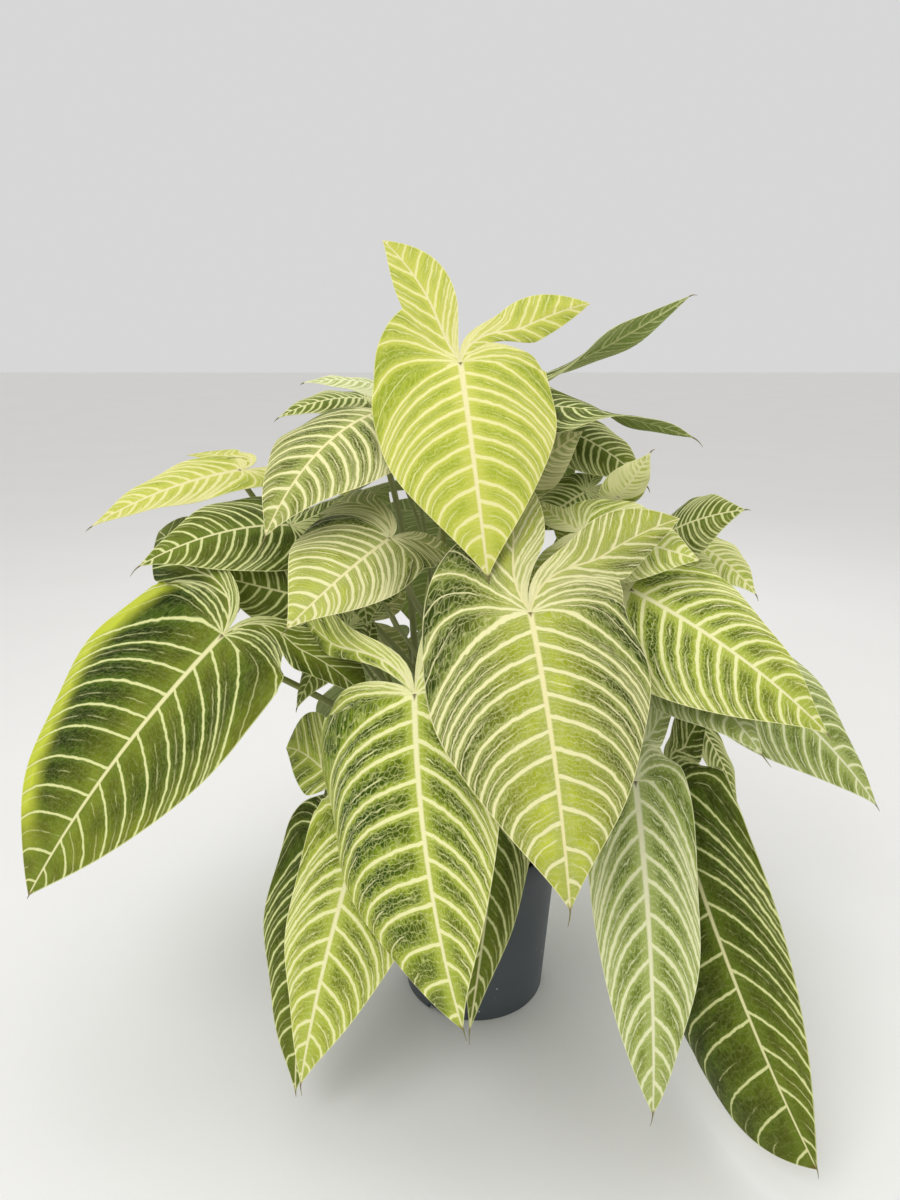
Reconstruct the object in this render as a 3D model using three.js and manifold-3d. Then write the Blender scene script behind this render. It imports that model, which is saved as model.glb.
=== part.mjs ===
// A house plant with arrow-shaped leaves on slender stalks, its bed of soil and the pot it stands in.
// Millimetres, +Z up, origin at the centre of the pot's foot. The viewer of the photo is on the -Y side.
import * as THREE from "three";
import { mergeVertices } from "three/addons/utils/BufferGeometryUtils.js";
import Module from "manifold-3d";

const wasm = await Module();
wasm.setup();

// Pot: a plain tapered nursery pot with a collar under its rim.
const POT_HEIGHT = 215;
const RIM_RADIUS = 105;
const FOOT_RADIUS = 87.5;
const COLLAR_HEIGHT = 28;
const COLLAR_STEP = 2.2;
const WALL = 3;
const FLOOR = 5;
const POT_SIDES = 40;
const DRAIN_HOLES = 3;
const DRAIN_WIDTH = 24;
const DRAIN_HEIGHT = 7;
const DRAIN_DEPTH = 14;
const DRAIN_START = -0.033;

// Soil: fills the pot up to a little under the rim.
const SOIL_TOP = 188;
const SOIL_CROWN = 7;
const GAP = 0.35;

// Stalks: each stands in a plain upright hole in the soil.
const SUNK = 26;
const UPRIGHT = 10;
const HOLE_FLOOR = 3;

// Blades.
const BLADE = 0.9;
const KEEL = 2.2;
const DEG = Math.PI / 180;

// Flat outline of half a leaf, in blade lengths: along the midrib from the collar, and out to the side.
const WIDEST = [0.17, 0.415];
const TIP = [1, 0];
const NOTCH = [-0.26, 0.235];
const LOBE_TIP = [-0.56, 0.32];
const SHOULDER = [NOTCH, [-0.2, 0.33], [-0.04, 0.41], WIDEST];
const LOBE_OUTSIDE = [LOBE_TIP, [-0.5, 0.3], [-0.36, 0.29], NOTCH];
const LOBE_INSIDE = [[0, 0], [-0.25, 0], [-0.5, -0.03], LOBE_TIP];
const LOBE_RIB = [[0, 0], [-0.15, 0.07], [-0.36, 0.13], LOBE_TIP];
const SHOULDER_SHARE = 0.72;

// Ground colour of a leaf of each tone.
const TONES = { lime: "#a8bd52", grey: "#8fa36a", vivid: "#7a9a3c", dark: "#3f5a1e", pale: "#a9bb7f" };

// Rows of faces: in a lobe, in the fan at the collar, along the midrib, and across half the blade.
const LARGE = { lobe: 3, fan: 2, front: 8, across: 2, sides: 6, steps: 9 };
const SMALL = { lobe: 2, fan: 1, front: 6, across: 1, sides: 5, steps: 6 };

// What a leaf is like unless its own line says otherwise. Angles are in degrees:
// bend and tipCurl roll the midrib down, arch rounds the blade across, twist turns it along the midrib,
// raise, curl and spread lift, roll and turn the two lobes outwards, each as [left, right],
// waist draws the notch in to the collar and full rounds the front margin out near the tip.
const PLAIN = {
  bend: 30,
  tipCurl: 0,
  arch: 30,
  lobeArch: [null, null],
  twist: 0,
  wide: 1,
  lobe: 1,
  raise: [0, 0],
  curl: [0, 0],
  spread: [0, 0],
  waist: [0, 0],
  full: [0, 0],
  wave: 0.012,
  phase: 0,
  rows: LARGE,
  stalk: [3, 5],
};

const LEAVES = [
  {
    name: "leaf_crown", collar: [-22, -130, 785], tip: [2, -230, 606], face: [0, 15], tone: "lime",
    root: [0, -77], bend: 35, lobeArch: [10, 5], wide: [1.06, 1], lobe: 1.05, raise: [25, 15],
    curl: [0, -10], spread: [-6, 38], waist: [0, 0.5], phase: 0,
  },
  {
    name: "leaf_centre", collar: [38, -250, 581], tip: [65, -380, 371], face: [6, 20], tone: "grey",
    root: [14, -61], push: [-70, 10], lean: 0.3, bend: 35, arch: 28, lobeArch: [null, 5], wide: 0.98,
    lobe: 1.05, raise: [10, 25], spread: [-22, 34], phase: 1.7,
  },
  {
    name: "leaf_left_big", collar: [-251, -171, 532], tip: [-437, -250, 294], face: [-15, 35],
    tone: "dark", root: [-59, -45], push: [0, 15], lean: 0.9, arch: 25, wide: [0.98, 0.64], lobe: 1.05,
    raise: [15, -35], curl: [0, 0], spread: [52, 40], waist: [0.2, 0.2], full: [0.4, 0.2], phase: 3.4,
  },
  {
    name: "leaf_front_low", collar: [-63, -259, 508], tip: [-20, -352, 228], face: [-30, 20],
    tone: "vivid", root: [-14, -53], lean: 0.3, arch: 35, wide: [1.25, 0.6], lobe: 0.95,
    raise: [30, -10], curl: [0, 0], spread: [34, 12], waist: [0.9, 0], full: [0.15, 0], phase: 5.1,
  },
  {
    name: "leaf_low_left", collar: [-116, -207, 350], tip: [-180, -283, 98], face: [-15, 20],
    tone: "vivid", root: [-26, -63], arch: 35, wide: [0.5, 0.66], lobe: [1.5, 0.6], raise: [0, 0],
    spread: [50, 0], waist: [0.3, 0], phase: 0.5,
  },
  {
    name: "leaf_low_left_b", collar: [-156, -160, 299], tip: [-194, -242, 47], face: [-25, 20],
    tone: "dark", root: [-37, -45], arch: 35, wide: 0.62, lobe: 0.6, phase: 2.2,
  },
  {
    name: "leaf_right_pale", collar: [147, -215, 398], tip: [159, -330, 110], face: [5, 20],
    tone: "pale", root: [39, -39], arch: 35, wide: [0.4, 0.42], lobe: 0.7, spread: [0, 25],
    full: [0.3, 0.3], phase: 3.9,
  },
  {
    name: "leaf_right_dark", collar: [198, -160, 352], tip: [316, -340, 55], face: [-46, 20],
    tone: "dark", root: [39, -60], bend: 22, arch: 62, wide: [1.1, 0.42], lobe: 0.7, raise: [-10, 5],
    spread: [0, 35], full: [1, 0.3], phase: 5.6,
  },
  {
    name: "leaf_right_mid", collar: [141, -165, 576], tip: [320, -232, 455], face: [20, 35],
    tone: "grey", root: [18, -38], bend: 35, wide: [0.85, 0.78], lobe: 0.9, raise: [0, 0], phase: 1,
  },
  {
    name: "leaf_right_mid_b", collar: [169, -120, 508], tip: [258, -240, 438], face: [20, 45],
    tone: "pale", root: [46, -10], bend: 35, wide: 0.9, lobe: 0.9, raise: [5, -25], phase: 2.7,
  },
  {
    name: "leaf_right_far", collar: [265, 18, 458], tip: [472, -46, 273], face: [30, 35], tone: "pale",
    root: [75, -6], bend: 35, wide: 0.7, phase: 4.4,
  },
  {
    name: "leaf_mid_left", collar: [-88, -163, 626], tip: [-171, -270, 572], face: [-20, 5],
    tone: "grey", root: [14, 56], arch: 35, wide: [1.25, 0.75], lobe: 1.4, raise: [10, -20],
    spread: [40, 0], phase: 6.1,
  },
  {
    name: "leaf_upper_left", collar: [-105, -95, 735], tip: [-200, -194, 634], face: [-25, 35],
    tone: "pale", root: [-71, 28], lean: 0.7, bend: 60, arch: 35, wide: [1.1, 0.95], raise: [-20, 0],
    spread: [20, 0], phase: 1.6,
  },
  {
    name: "leaf_far_left", collar: [-258, -16, 666], tip: [-400, -87, 619], face: [-25, 45],
    tone: "lime", root: [-64, -21], wide: [0.6, 0.45], lobe: 1.3, raise: [20, 0], spread: [75, 10],
    waist: [0.6, 0], phase: 3.3,
  },
  {
    name: "leaf_top_twist", collar: [28, 15, 748], tip: [211, -31, 845], face: [-60, 45], tone: "dark",
    root: [12, 72], push: [25, 30], bend: -15, arch: 45, twist: -100, wide: 0.4, lobe: 0.6, phase: 5,
  },
  {
    name: "leaf_top_fold", collar: [53, -80, 741], tip: [201, -124, 715], face: [-10, 60], tone: "dark",
    root: [-26, 62], push: [45, 30], lean: 0.6, bend: 25, arch: 25, twist: -75, wide: 0.75, lobe: 0.5,
    phase: 0.4,
  },
  {
    name: "leaf_top_grey", collar: [34, -94, 670], tip: [97, -113, 720], face: [-10, 10], tone: "grey",
    root: [-28, 40], bend: 20, wide: 0.9, phase: 2.1, stalk: [1.8, 3], rows: SMALL,
  },
  {
    name: "leaf_top_dark", collar: [88, -40, 712], tip: [170, -80, 659], face: [20, 40], tone: "dark",
    root: [53, 58], lean: 0.6, bend: 40, wide: 0.9, lobe: 0.7, phase: 3.8, stalk: [1.8, 3], rows: SMALL,
  },
  {
    name: "leaf_top_bright", collar: [133, -118, 656], tip: [158, -138, 703], face: [10, 10],
    tone: "vivid", root: [15, 19], push: [30, 20], lean: 0.2, bend: 20, wide: 0.9, phase: 5.5,
    stalk: [1.8, 3], rows: SMALL,
  },
  {
    name: "leaf_inner_bright", collar: [97, -148, 627], tip: [202, -178, 608], face: [10, 30],
    tone: "vivid", root: [-80, 21], bend: 40, lobe: 0.95, raise: [20, 0], spread: [30, 0], phase: 0.9,
    stalk: [1.8, 3], rows: SMALL,
  },
  {
    name: "leaf_inner_dark", collar: [107, -74, 653], tip: [47, -104, 618], face: [-10, 30],
    tone: "dark", root: [13, 41], phase: 2.6, stalk: [1.8, 3], rows: SMALL,
  },
  {
    name: "leaf_side_dark", collar: [201, -70, 612], tip: [256, -128, 646], face: [0, 40], tone: "dark",
    root: [-47, -69], push: [0, 10], lean: 1.3, wide: 1.1, lobe: 0.95, raise: [15, 0], phase: 4.3,
    stalk: [1.8, 3], rows: SMALL,
  },
  {
    name: "leaf_side_bright", collar: [189, -50, 580], tip: [247, -110, 564], face: [10, 40],
    tone: "vivid", root: [63, -7], bend: 40, phase: 6, stalk: [1.8, 3], rows: SMALL,
  },
  {
    name: "leaf_side_bright_b", collar: [233, -21, 589], tip: [291, -82, 545], face: [20, 40],
    tone: "vivid", root: [26, -30], push: [-10, 5], lean: 0.8, bend: 40, raise: [-10, -5], phase: 1.4,
    stalk: [1.8, 3], rows: SMALL,
  },
  {
    name: "leaf_left_dark", collar: [-125, 15, 739], tip: [-214, -21, 722], face: [-20, 60],
    tone: "dark", root: [-33, 75], bend: 40, wide: 0.7, phase: 3.1, stalk: [1.8, 3], rows: SMALL,
  },
  {
    name: "leaf_left_thin", collar: [-93, -40, 754], tip: [-178, -70, 762], face: [-20, 70],
    tone: "pale", root: [-50, 35], wide: 0.7, phase: 4.8, stalk: [1.8, 3], rows: SMALL,
  },
  {
    name: "leaf_behind_left", collar: [-200, -60, 615], tip: [-340, -130, 589], face: [-20, 40],
    tone: "dark", root: [-41, -22], push: [45, 75], bend: 50, wide: 0.8, lobe: 0.85, raise: [10, 5],
    phase: 0.2,
  },
  {
    name: "leaf_mid_dark", collar: [-159, -76, 534], tip: [-282, -101, 574], face: [-15, 20],
    tone: "dark", root: [-60, 2], push: [10, 5], lean: 0.4, wide: 0.9, raise: [15, -5], phase: 1.9,
    stalk: [1.8, 3], rows: SMALL,
  },
  {
    name: "leaf_grey_left", collar: [-147, 8, 484], tip: [-281, -20, 479], face: [-15, 30],
    tone: "grey", root: [-61, 45], lean: 0.4, wide: 0.8, raise: [0, -10], phase: 3.6, stalk: [1.8, 3],
    rows: SMALL,
  },
  {
    name: "leaf_under_left", collar: [-118, -149, 600], tip: [-111, -173, 540], face: [0, 20],
    tone: "dark", root: [-12, 11], phase: 5.3, stalk: [1.8, 3], rows: SMALL,
  },
  {
    name: "leaf_hang_left", collar: [-140, -109, 515], tip: [-188, -148, 444], face: [-50, 20],
    tone: "dark", root: [-16, -31], wide: 0.9, lobe: 0.9, phase: 0.8, stalk: [1.8, 3], rows: SMALL,
  },
  {
    name: "leaf_hang_right", collar: [200, 2, 524], tip: [214, -41, 391], face: [40, 20], tone: "dark",
    root: [25, -16], wide: 0.7, phase: 2.5, stalk: [1.8, 3], rows: SMALL,
  },
  {
    name: "leaf_right_tip", collar: [244, -90, 395], tip: [274, -140, 324], face: [40, 20],
    tone: "dark", root: [60, -28], push: [50, 25], wide: 0.6, phase: 4.2, stalk: [1.8, 3], rows: SMALL,
  },
  {
    name: "leaf_back_crown", collar: [25, 105, 695], tip: [55, 230, 490], face: [170, 25], tone: "lime",
    root: [-3, 57], bend: 35, wide: 0.95, raise: [-5, 10], spread: [20, 10], phase: 5.9,
  },
  {
    name: "leaf_back_mid", collar: [-40, 160, 570], tip: [-75, 300, 360], face: [190, 25], tone: "grey",
    root: [-14, 35], bend: 35, wide: 0.95, lobe: 0.85, spread: [10, 25], phase: 1.3,
  },
  {
    name: "leaf_back_right", collar: [170, 115, 570], tip: [310, 225, 430], face: [130, 30],
    tone: "vivid", root: [40, 34], lean: 0.9, bend: 35, wide: 0.9, lobe: 0.95, spread: [0, 15],
    phase: 3,
  },
  {
    name: "leaf_back_far_left", collar: [-170, 90, 610], tip: [-320, 190, 440], face: [-130, 30],
    tone: "grey", root: [-36, 15], bend: 35, wide: 0.9, lobe: 0.8, spread: [15, 0], phase: 4.7,
  },
  {
    name: "leaf_back_low_right", collar: [115, 175, 360], tip: [190, 305, 130], face: [150, 25],
    tone: "dark", root: [32, 55], arch: 35, wide: 0.75, phase: 0.1,
  },
  {
    name: "leaf_back_low_left", collar: [-120, 180, 370], tip: [-210, 300, 150], face: [-150, 25],
    tone: "vivid", root: [-52, 56], arch: 35, wide: 0.8, phase: 1.8,
  },
  {
    name: "leaf_low_front", collar: [20, -162, 382], tip: [-13, -293, 173], face: [5, 20], tone: "dark",
    root: [8, -30], lean: 1, arch: 35, wide: 0.4, lobe: 0.5, phase: 2.9,
  },
];

// One point of a cubic curve.
function onCurve(curve, k) {
  const j = 1 - k;
  const weights = [j * j * j, 3 * j * j * k, 3 * j * k * k, k * k * k];
  return [0, 1].map((axis) => weights.reduce((sum, w, i) => sum + w * curve[i][axis], 0));
}

function steps(count) {
  return Array.from({ length: count + 1 }, (_, i) => i / count);
}

function mix(a, b, k) {
  return a.map((x, i) => x + (b[i] - x) * k);
}

function clamp01(x) {
  return Math.min(1, Math.max(0, x));
}

function smooth(x) {
  const k = clamp01(x);
  return k * k * (3 - 2 * k);
}

// Points at even distances along a line of points.
function evenly(line, shares) {
  const reach = [0];
  for (let i = 1; i < line.length; i++)
    reach.push(reach[i - 1] + Math.hypot(line[i][0] - line[i - 1][0], line[i][1] - line[i - 1][1]));
  return shares.map((share) => {
    const at = share * reach[reach.length - 1];
    let i = 1;
    while (i < line.length - 1 && reach[i] < at) i++;
    return mix(line[i - 1], line[i], (at - reach[i - 1]) / (reach[i] - reach[i - 1]));
  });
}

// The front margin from the last of the shoulder to the tip.
function frontMargin(shares, full) {
  const curve = [WIDEST, [0.54, 0.42 + 0.15 * full], [0.8 + 0.1 * full, 0.1 + 0.3 * full], TIP];
  const rest = steps(8).map((k) => onCurve(SHOULDER, SHOULDER_SHARE + k * (1 - SHOULDER_SHARE)));
  const front = steps(59).map((k) => onCurve(curve, k));
  return evenly(rest.concat(front.slice(1)), shares);
}

// A curve with each of its four points drawn some way in to the collar.
function drawnIn(curve, ...shares) {
  return curve.map((point, i) => point.map((x) => x * (1 - shares[i])));
}

// Half a leaf laid flat, as rows that run from a rib to the margin: one strip outside, one inside the lobe.
function flatHalf(rows, waist, full) {
  const shoulder = drawnIn(SHOULDER, waist, 0.5 * waist, 0, 0);
  const lobeOutside = drawnIn(LOBE_OUTSIDE, 0, 0, 0.4 * waist, waist);
  const lobe = steps(rows.lobe);
  const fan = steps(rows.fan).slice(1);
  const front = steps(rows.front).slice(1);
  const outerRib = [
    ...lobe.map((k) => onCurve(LOBE_RIB, 1 - k)),
    ...fan.map(() => [0, 0]),
    ...front.map((k) => [k, 0]),
  ];
  const outerMargin = [
    ...lobe.map((k) => onCurve(lobeOutside, k ** 0.9)),
    ...fan.map((k) => onCurve(shoulder, k * SHOULDER_SHARE)),
    ...frontMargin(front, full),
  ];
  const innerRib = lobe.map((k) => onCurve(LOBE_RIB, 1 - k));
  const innerMargin = lobe.map((k) => onCurve(LOBE_INSIDE, 1 - k));
  return { outerRib, outerMargin, innerRib, innerMargin };
}

// The bend of a rib, walked in small steps from the collar: place and direction after each step.
function walk(length, count, turn) {
  const path = [{ x: 0, y: 0, turn: turn(0) }];
  for (let i = 1; i <= count; i++) {
    const last = path[i - 1];
    const next = turn((i / count) * length);
    const middle = (last.turn + next) / 2;
    const step = length / count;
    path.push({ x: last.x + step * Math.cos(middle), y: last.y + step * Math.sin(middle), turn: next });
  }
  return { length, count, path };
}

function walked(rib, reach) {
  const at = clamp01(reach / rib.length) * rib.count;
  const i = Math.min(Math.floor(at), rib.count - 1);
  const k = at - i;
  const a = rib.path[i];
  const b = rib.path[i + 1];
  return { x: a.x + (b.x - a.x) * k, y: a.y + (b.y - a.y) * k, turn: a.turn + (b.turn - a.turn) * k };
}

// The leaf's own axes, its real length and the bent ribs.
function poseLeaf(line) {
  const leaf = { ...PLAIN, ...line };
  leaf.from = new THREE.Vector3(...leaf.collar);
  const chord = new THREE.Vector3(...leaf.tip).sub(leaf.from);
  const [azimuth, elevation] = leaf.face.map((a) => a * DEG);
  const toward = new THREE.Vector3(
    Math.sin(azimuth) * Math.cos(elevation),
    -Math.cos(azimuth) * Math.cos(elevation),
    Math.sin(elevation),
  );
  leaf.ahead = chord.clone().normalize();
  leaf.up = toward.addScaledVector(leaf.ahead, -toward.dot(leaf.ahead)).normalize();
  leaf.right = leaf.up.clone().cross(leaf.ahead);
  const rolled = (s) => -leaf.bend * DEG * s - leaf.tipCurl * DEG * clamp01((s - 0.6) / 0.4) ** 2;
  const straight = walk(1, 48, rolled);
  const end = straight.path[48];
  const start = -Math.atan2(end.y, end.x);
  leaf.length = chord.length() / Math.hypot(end.x, end.y);
  leaf.midrib = walk(1, 48, (s) => rolled(s) + start);
  leaf.lobes = [0, 1].map((i) => {
    const lift = (q) => leaf.raise[i] * DEG * clamp01(q / 0.12) + leaf.curl[i] * DEG * (q / 0.5);
    return walk(0.8, 32, (q) => start - lift(q));
  });
  return leaf;
}

// A leaf's width or lobe size on one side, given as one number for both or as [left, right].
function forSide(value, side) {
  return [value].flat().at(side < 0 ? 0 : -1);
}

// Where a point of the flat leaf lies in space, with the direction that faces up out of the blade.
// side is -1 on the left and 1 on the right; along and across are 0..1 over the half blade.
function onBlade(leaf, [flatS, flatT], side, along, across) {
  const i = side < 0 ? 0 : 1;
  const inLobe = smooth(-flatS / 0.3);
  const size = 1 + (forSide(leaf.lobe, side) - 1) * inLobe;
  const turned = leaf.spread[i] * DEG * inLobe;
  const s = size * (flatS * Math.cos(turned) + flatT * Math.sin(turned));
  const turnedT = size * (flatT * Math.cos(turned) - flatS * Math.sin(turned));
  const wide = forSide(leaf.wide, side);
  const narrow = Math.sqrt(wide);
  const t = turnedT * (narrow + (wide - narrow) * smooth((s + 0.5) / 0.4));
  const rib = s >= 0 ? walked(leaf.midrib, s) : walked(leaf.lobes[i], -s);
  const x = s >= 0 ? rib.x : -rib.x;
  const y = s >= 0 ? rib.y : -rib.y;
  const cos = Math.cos(rib.turn);
  const sin = Math.sin(rib.turn);
  const up = leaf.up.clone().multiplyScalar(cos).addScaledVector(leaf.ahead, -sin);
  const twist = leaf.twist * DEG * clamp01(s);
  const right = leaf.right.clone().multiplyScalar(Math.cos(twist)).addScaledVector(up, Math.sin(twist));
  up.multiplyScalar(Math.cos(twist)).addScaledVector(leaf.right, -Math.sin(twist));
  const lobeArch = leaf.lobeArch[i] ?? leaf.arch;
  const bow = ((leaf.arch + (lobeArch - leaf.arch) * clamp01(-s / 0.25)) * DEG) / 0.4 || 1e-3;
  const angle = bow * t;
  const at = leaf.from
    .clone()
    .addScaledVector(leaf.ahead, leaf.length * x)
    .addScaledVector(leaf.up, leaf.length * y)
    .addScaledVector(right, (leaf.length * side * Math.sin(angle)) / bow)
    .addScaledVector(up, (leaf.length * (Math.cos(angle) - 1)) / bow);
  const out = up.multiplyScalar(Math.cos(angle)).addScaledVector(right, side * Math.sin(angle));
  const fade = 4 * along * (1 - along) * clamp01(Math.hypot(flatS, flatT) / 0.2);
  const ripple = Math.sin(2 * Math.PI * 3.5 * along + leaf.phase + side);
  at.addScaledVector(out, leaf.wave * leaf.length * across * across * fade * ripple);
  return { at, out };
}

// Half-made sheet: points met twice, as on the ribs, are kept once.
function newSheet() {
  return { points: [], faces: [], seen: new Map() };
}

function pointOf(sheet, leaf, flat, side, along, across) {
  const { at, out } = onBlade(leaf, flat, side, along, across);
  const key = at.toArray().map((x) => x.toFixed(2)).join();
  if (!sheet.seen.has(key)) {
    const keel = KEEL * Math.exp(-((Math.abs(flat[1]) / 0.06) ** 2)) * clamp01(1.2 - flat[0]);
    const thickness = BLADE + (flat[0] >= 0 ? keel * clamp01(leaf.length / 200) : 0.4 * (1 - across));
    sheet.seen.set(key, sheet.points.push({ at, out, thickness }) - 1);
  }
  return sheet.seen.get(key);
}

function addFace(sheet, a, b, c) {
  if (a !== b && b !== c && c !== a) sheet.faces.push([a, b, c]);
}

// One strip of the sheet between a rib and a margin, with each four-sided patch cut along the same diagonal.
function addStrip(sheet, leaf, side, rib, margin, total, across, inner) {
  const grid = rib.map((start, row) =>
    steps(across).map((k) =>
      pointOf(sheet, leaf, mix(start, margin[row], k), side, row / total, inner ? k / 2 : k),
    ),
  );
  const turned = side > 0 === inner;
  for (let row = 1; row < grid.length; row++)
    for (let k = 1; k <= across; k++) {
      const [a, b, c, d] = [grid[row - 1][k - 1], grid[row - 1][k], grid[row][k], grid[row][k - 1]];
      if (turned) {
        addFace(sheet, a, b, c);
        addFace(sheet, a, c, d);
      } else {
        addFace(sheet, a, c, b);
        addFace(sheet, a, d, c);
      }
    }
}

function closedGeometry(points, faces) {
  const geometry = new THREE.BufferGeometry();
  geometry.setAttribute("position", new THREE.Float32BufferAttribute(points.flatMap((p) => p.toArray()), 3));
  geometry.setIndex(faces.flat());
  return geometry;
}

// Gives the sheet its thickness downwards and closes its edge.
function thicken(sheet) {
  const count = sheet.points.length;
  const top = sheet.points.map((p) => p.at);
  const bottom = sheet.points.map((p) => p.at.clone().addScaledVector(p.out, -p.thickness));
  const faces = sheet.faces.map((f) => [...f]);
  sheet.faces.forEach(([a, b, c]) => faces.push([a + count, c + count, b + count]));
  const edges = new Set(sheet.faces.flatMap(([a, b, c]) => [`${a},${b}`, `${b},${c}`, `${c},${a}`]));
  for (const edge of edges) {
    const [a, b] = edge.split(",").map(Number);
    if (edges.has(`${b},${a}`)) continue;
    faces.push([a, a + count, b + count], [a, b + count, b]);
  }
  return closedGeometry([...top, ...bottom], faces);
}

function bladeOf(leaf) {
  const sheet = newSheet();
  for (const side of [-1, 1]) {
    const i = side < 0 ? 0 : 1;
    const half = flatHalf(leaf.rows, leaf.waist[i], leaf.full[i]);
    const total = half.outerRib.length - 1;
    addStrip(sheet, leaf, side, half.outerRib, half.outerMargin, total, leaf.rows.across, false);
    addStrip(sheet, leaf, side, half.innerRib, half.innerMargin, total, 1, true);
  }
  return thicken(sheet);
}

// The stalk's line: upright in the soil, then one sweep up to the collar.
function stalkLine(leaf) {
  const { at, out } = onBlade(leaf, [0.03, 0], 1, 0.5, 0);
  const [x, y] = leaf.root;
  const bottom = new THREE.Vector3(x, y, SOIL_TOP - SUNK);
  const ground = new THREE.Vector3(x, y, SOIL_TOP + UPRIGHT);
  const outward = new THREE.Vector3(at.x - x, at.y - y, 0);
  const reach = at.distanceTo(ground);
  const lean = leaf.lean ?? 0.5;
  const arrive = outward.clone().normalize().multiplyScalar(lean).add(new THREE.Vector3(0, 0, 0.8)).normalize();
  if (arrive.dot(out) < 0.3) arrive.addScaledVector(out, 0.5).normalize();
  const sunk = 1 + leaf.stalk[0] * Math.sqrt(1 - Math.min(1, arrive.dot(out) ** 2));
  const end = at.clone().addScaledVector(out, -sunk);
  const [pushX, pushY] = leaf.push ?? [0, 0];
  const curve = new THREE.CubicBezierCurve3(
    ground,
    new THREE.Vector3(x + pushX, y + pushY, ground.z + 0.45 * reach),
    end.clone().addScaledVector(arrive, -0.35 * reach),
    end,
  );
  return [bottom, ...curve.getPoints(leaf.rows.steps)];
}

// A tapering round body along a line of points, closed at both ends.
function sweep(line, startRadius, endRadius, sides) {
  const points = [];
  const faces = [];
  const across = new THREE.Vector3(1, 0, 0);
  line.forEach((centre, i) => {
    const before = line[Math.max(0, i - 1)];
    const after = line[Math.min(line.length - 1, i + 1)];
    const ahead = after.clone().sub(before).normalize();
    across.addScaledVector(ahead, -across.dot(ahead)).normalize();
    const other = ahead.clone().cross(across);
    const k = Math.max(0, i - 1) / (line.length - 2);
    const radius = startRadius + (endRadius - startRadius) * k;
    for (let j = 0; j < sides; j++) {
      const angle = (2 * Math.PI * j) / sides;
      const spoke = across.clone().multiplyScalar(Math.cos(angle)).addScaledVector(other, Math.sin(angle));
      points.push(centre.clone().addScaledVector(spoke, radius));
    }
  });
  for (let i = 1; i < line.length; i++)
    for (let j = 0; j < sides; j++) {
      const [a, b] = [(i - 1) * sides + j, (i - 1) * sides + ((j + 1) % sides)];
      faces.push([a, b, b + sides], [a, b + sides, a + sides]);
    }
  const last = (line.length - 1) * sides;
  for (let j = 1; j < sides - 1; j++) {
    faces.push([0, j + 1, j]);
    faces.push([last, last + j, last + j + 1]);
  }
  return closedGeometry(points, faces);
}

function solid(geometry) {
  const bare = geometry.clone();
  bare.deleteAttribute("normal");
  bare.deleteAttribute("uv");
  const merged = mergeVertices(bare, 1e-4);
  const vertProperties = new Float32Array(merged.attributes.position.array);
  const triVerts = new Uint32Array(merged.index.array);
  return new wasm.Manifold(new wasm.Mesh({ numProp: 3, vertProperties, triVerts }));
}

function geometryOf(made) {
  const mesh = made.getMesh();
  const geometry = new THREE.BufferGeometry();
  geometry.setAttribute("position", new THREE.BufferAttribute(new Float32Array(mesh.vertProperties), 3));
  geometry.setIndex(new THREE.BufferAttribute(new Uint32Array(mesh.triVerts), 1));
  return geometry;
}

// A turned body from its profile of [radius, height] pairs, drawn upwards on the outside and down the inside.
function turned(profile, sides) {
  const outline = profile.map(([radius, z]) => new THREE.Vector2(radius, z));
  return new THREE.LatheGeometry(outline, sides).rotateX(Math.PI / 2);
}

function named(name, geometry, colour, roughness) {
  const flat = geometry.index ? geometry.toNonIndexed() : geometry;
  flat.computeVertexNormals();
  const mesh = new THREE.Mesh(flat, new THREE.MeshStandardMaterial({ color: colour, roughness, metalness: 0 }));
  mesh.name = name;
  return mesh;
}

function leafMesh(line) {
  const leaf = poseLeaf(line);
  const blade = solid(bladeOf(leaf));
  const [top, foot] = leaf.stalk;
  const stalk = solid(sweep(stalkLine(leaf), foot, top, leaf.rows.sides));
  return named(leaf.name, geometryOf(blade.add(stalk)), TONES[leaf.tone], 0.5);
}

// The pot: outside up to the rim, then down the inside, with notches for water cut round the foot.
function potMesh() {
  const slope = (RIM_RADIUS - COLLAR_STEP - FOOT_RADIUS) / POT_HEIGHT;
  const outside = (z) => FOOT_RADIUS + slope * z;
  const step = POT_HEIGHT - COLLAR_HEIGHT;
  const profile = [
    [0, 0],
    [FOOT_RADIUS - 1.5, 0],
    [FOOT_RADIUS, 1.5],
    [outside(step), step],
    [outside(step) + COLLAR_STEP, step + 0.6],
    [RIM_RADIUS, POT_HEIGHT - 1],
    [RIM_RADIUS - 1, POT_HEIGHT],
    [RIM_RADIUS - WALL, POT_HEIGHT - 0.4],
    [insideAt(FLOOR), FLOOR],
    [0, FLOOR],
  ];
  let pot = solid(turned(profile, POT_SIDES));
  for (let i = 0; i < DRAIN_HOLES; i++) {
    const angle = ((i + DRAIN_START) / DRAIN_HOLES) * 2 * Math.PI;
    const cut = new THREE.BoxGeometry(DRAIN_DEPTH, DRAIN_WIDTH, DRAIN_HEIGHT * 2);
    cut.translate(FOOT_RADIUS, 0, 0).rotateZ(angle);
    pot = pot.subtract(solid(cut));
  }
  return named("pot", geometryOf(pot), "#454b4f", 0.7);
}

// Radius of the pot's inner wall at a height.
function insideAt(z) {
  const foot = FOOT_RADIUS - WALL;
  return foot + ((RIM_RADIUS - WALL - foot) * z) / (POT_HEIGHT - 0.4);
}

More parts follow.
